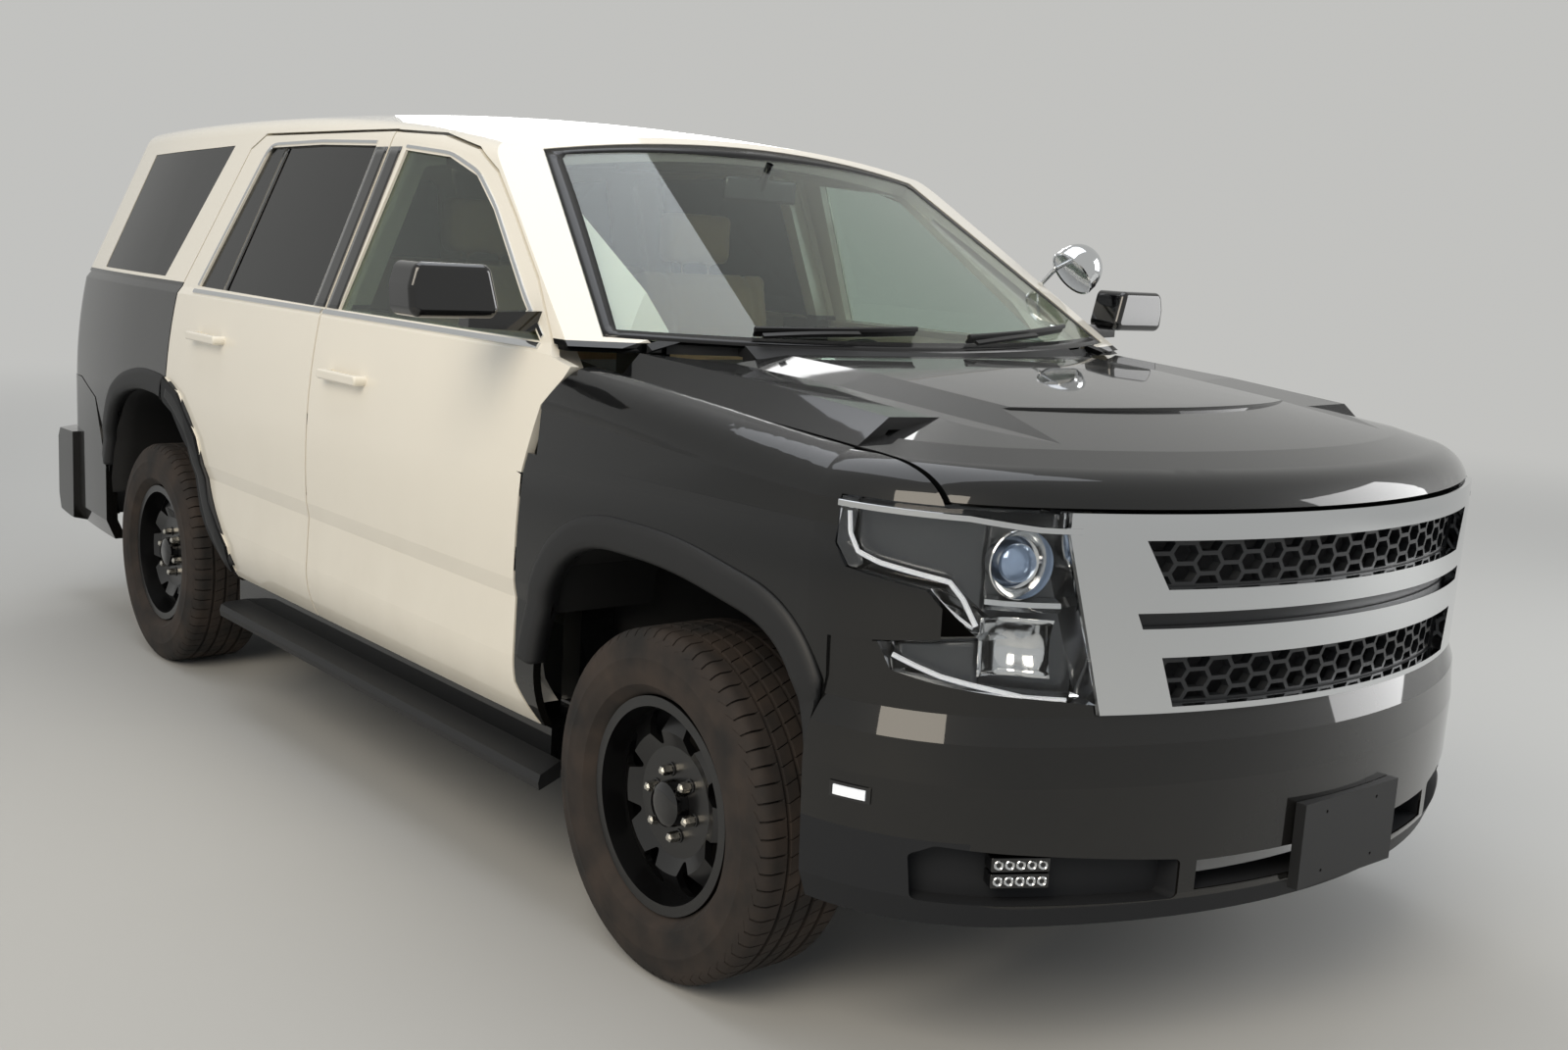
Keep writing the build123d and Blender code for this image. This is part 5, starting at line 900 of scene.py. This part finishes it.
# %% [markdown]
# The camera stands where the photographer stood: its place, its three angles and its focal length were
# solved from wheels, lamps and door edges of known size. Writing the axes as a matrix avoids any doubt
# about the order of rotations.

# %% Camera
EYE = (-2.90623, -4.24124, 1.53247)
YAW, PITCH, ROLL = (np.radians(a) for a in (40.11157, -9.65906, 3.37018))
FOCAL_PIXELS, PHOTO_WIDTH, SENSOR_MM = 1677.785, 1600, 36.0

ahead = np.array([np.sin(YAW) * np.cos(PITCH), np.cos(YAW) * np.cos(PITCH), np.sin(PITCH)])
level = np.array([np.cos(YAW), -np.sin(YAW), 0.0])
upright = np.cross(level, ahead)
right = np.cos(ROLL) * level + np.sin(ROLL) * upright
up = np.cos(ROLL) * upright - np.sin(ROLL) * level
camera_data = bpy.data.cameras.new("photo_camera")
camera_data.sensor_width = SENSOR_MM
camera_data.sensor_fit = "HORIZONTAL"
camera_data.lens = FOCAL_PIXELS / PHOTO_WIDTH * SENSOR_MM
camera_data.clip_end = 200
camera = bpy.data.objects.new("photo_camera", camera_data)
axes = np.stack([right, up, -ahead], axis=1)
camera.matrix_world = Matrix([(*row, place) for row, place in zip(axes, EYE)] + [(0, 0, 0, 1)])
scene.collection.objects.link(camera)
scene.camera = camera
print("lens mm:", round(camera_data.lens, 2))

# %% [markdown]
# A plain studio: a floor, a pale surround and large soft lamps. Big lamps matter on black paint, because
# its look is made of their reflections. Far from the vehicle the floor fades into the surround, so no
# horizon shows.

# %% Floor, surround and lamps
scene.view_settings.view_transform = "Standard"
world = bpy.data.worlds.new("studio")
scene.world = world
world.use_nodes = True
tree = world.node_tree
tree.nodes.clear()
PALE = 0.66


def seen_rays(material):
    """An output that is 1 for camera, glass and mirror rays and 0 for the rays that light the scene."""
    path = add(material, "ShaderNodeLightPath")
    seen = add(material, "ShaderNodeMath", {"operation": "MAXIMUM"},
               {0: path.outputs["Is Camera Ray"], 1: path.outputs["Is Transmission Ray"]})
    return add(material, "ShaderNodeMath", {"operation": "MAXIMUM"},
               {0: seen.outputs[0], 1: path.outputs["Is Glossy Ray"]}).outputs[0]


out = add(world, "ShaderNodeOutputWorld")
lit = add(world, "ShaderNodeBackground", inputs={"Color": linear("DDE2E8"), "Strength": 0.62})
pale = add(world, "ShaderNodeBackground", inputs={"Color": linear("E9E9E6"), "Strength": PALE})
mixed = add(world, "ShaderNodeMixShader", inputs={0: seen_rays(world), 1: lit.outputs[0], 2: pale.outputs[0]})
link(world, mixed.outputs[0], out.inputs["Surface"])

floor_mesh = bpy.data.meshes.new("studio_floor")
FLOOR = 60.0
floor_mesh.from_pydata([(-FLOOR, -FLOOR, 0), (FLOOR, -FLOOR, 0), (FLOOR, FLOOR, 0), (-FLOOR, FLOOR, 0)],
                       [], [(0, 1, 2, 3)])
floor = bpy.data.objects.new("studio_floor", floor_mesh)
scene.collection.objects.link(floor)
floor_finish, floor_shader = finish("pale_studio_floor", "B9B8B4", 0.9)
from_middle = add(floor_finish, "ShaderNodeVectorMath", {"operation": "LENGTH"}, {0: place_of(floor_finish)})
fade = add(floor_finish, "ShaderNodeMapRange", {"interpolation_type": "SMOOTHSTEP"},
           {"Value": from_middle.outputs["Value"], "From Min": 3.5, "From Max": 13.0})
fade = add(floor_finish, "ShaderNodeMath", {"operation": "MULTIPLY"},
           {0: fade.outputs["Result"], 1: seen_rays(floor_finish)})
backdrop = add(floor_finish, "ShaderNodeEmission", inputs={"Color": linear("E9E9E6"), "Strength": PALE})
blend = add(floor_finish, "ShaderNodeMixShader",
            inputs={0: fade.outputs[0], 1: floor_shader.outputs[0], 2: backdrop.outputs[0]})
ends = [node for node in floor_finish.node_tree.nodes if node.bl_idname == "ShaderNodeOutputMaterial"]
link(floor_finish, blend.outputs[0], ends[0].inputs["Surface"])
floor_mesh.materials.append(floor_finish)


def lamp(name, place, target, size, watts, colour="FFFFFF"):
    """A square area lamp at a place, facing a target point."""
    data = bpy.data.lights.new(name, "AREA")
    data.shape, data.size, data.energy = "SQUARE", size, watts
    data.color = linear(colour)[:3]
    thing = bpy.data.objects.new(name, data)
    direction = Vector(target) - Vector(place)
    thing.matrix_world = Matrix.Translation(place) @ direction.to_track_quat("-Z", "Y").to_matrix().to_4x4()
    scene.collection.objects.link(thing)


lamp("key", (-7.0, -4.5, 6.0), (0, 0, 0.8), 5.0, 450, "FFF4E2")
lamp("top", (0.0, 0.5, 7.5), (0, 0, 0.5), 6.0, 190, "F4F8FF")
lamp("fill", (6.5, -5.0, 3.0), (0, -1, 0.8), 4.0, 220)
lamp("back", (5.0, 7.5, 4.5), (0, 0, 1.0), 4.0, 180)
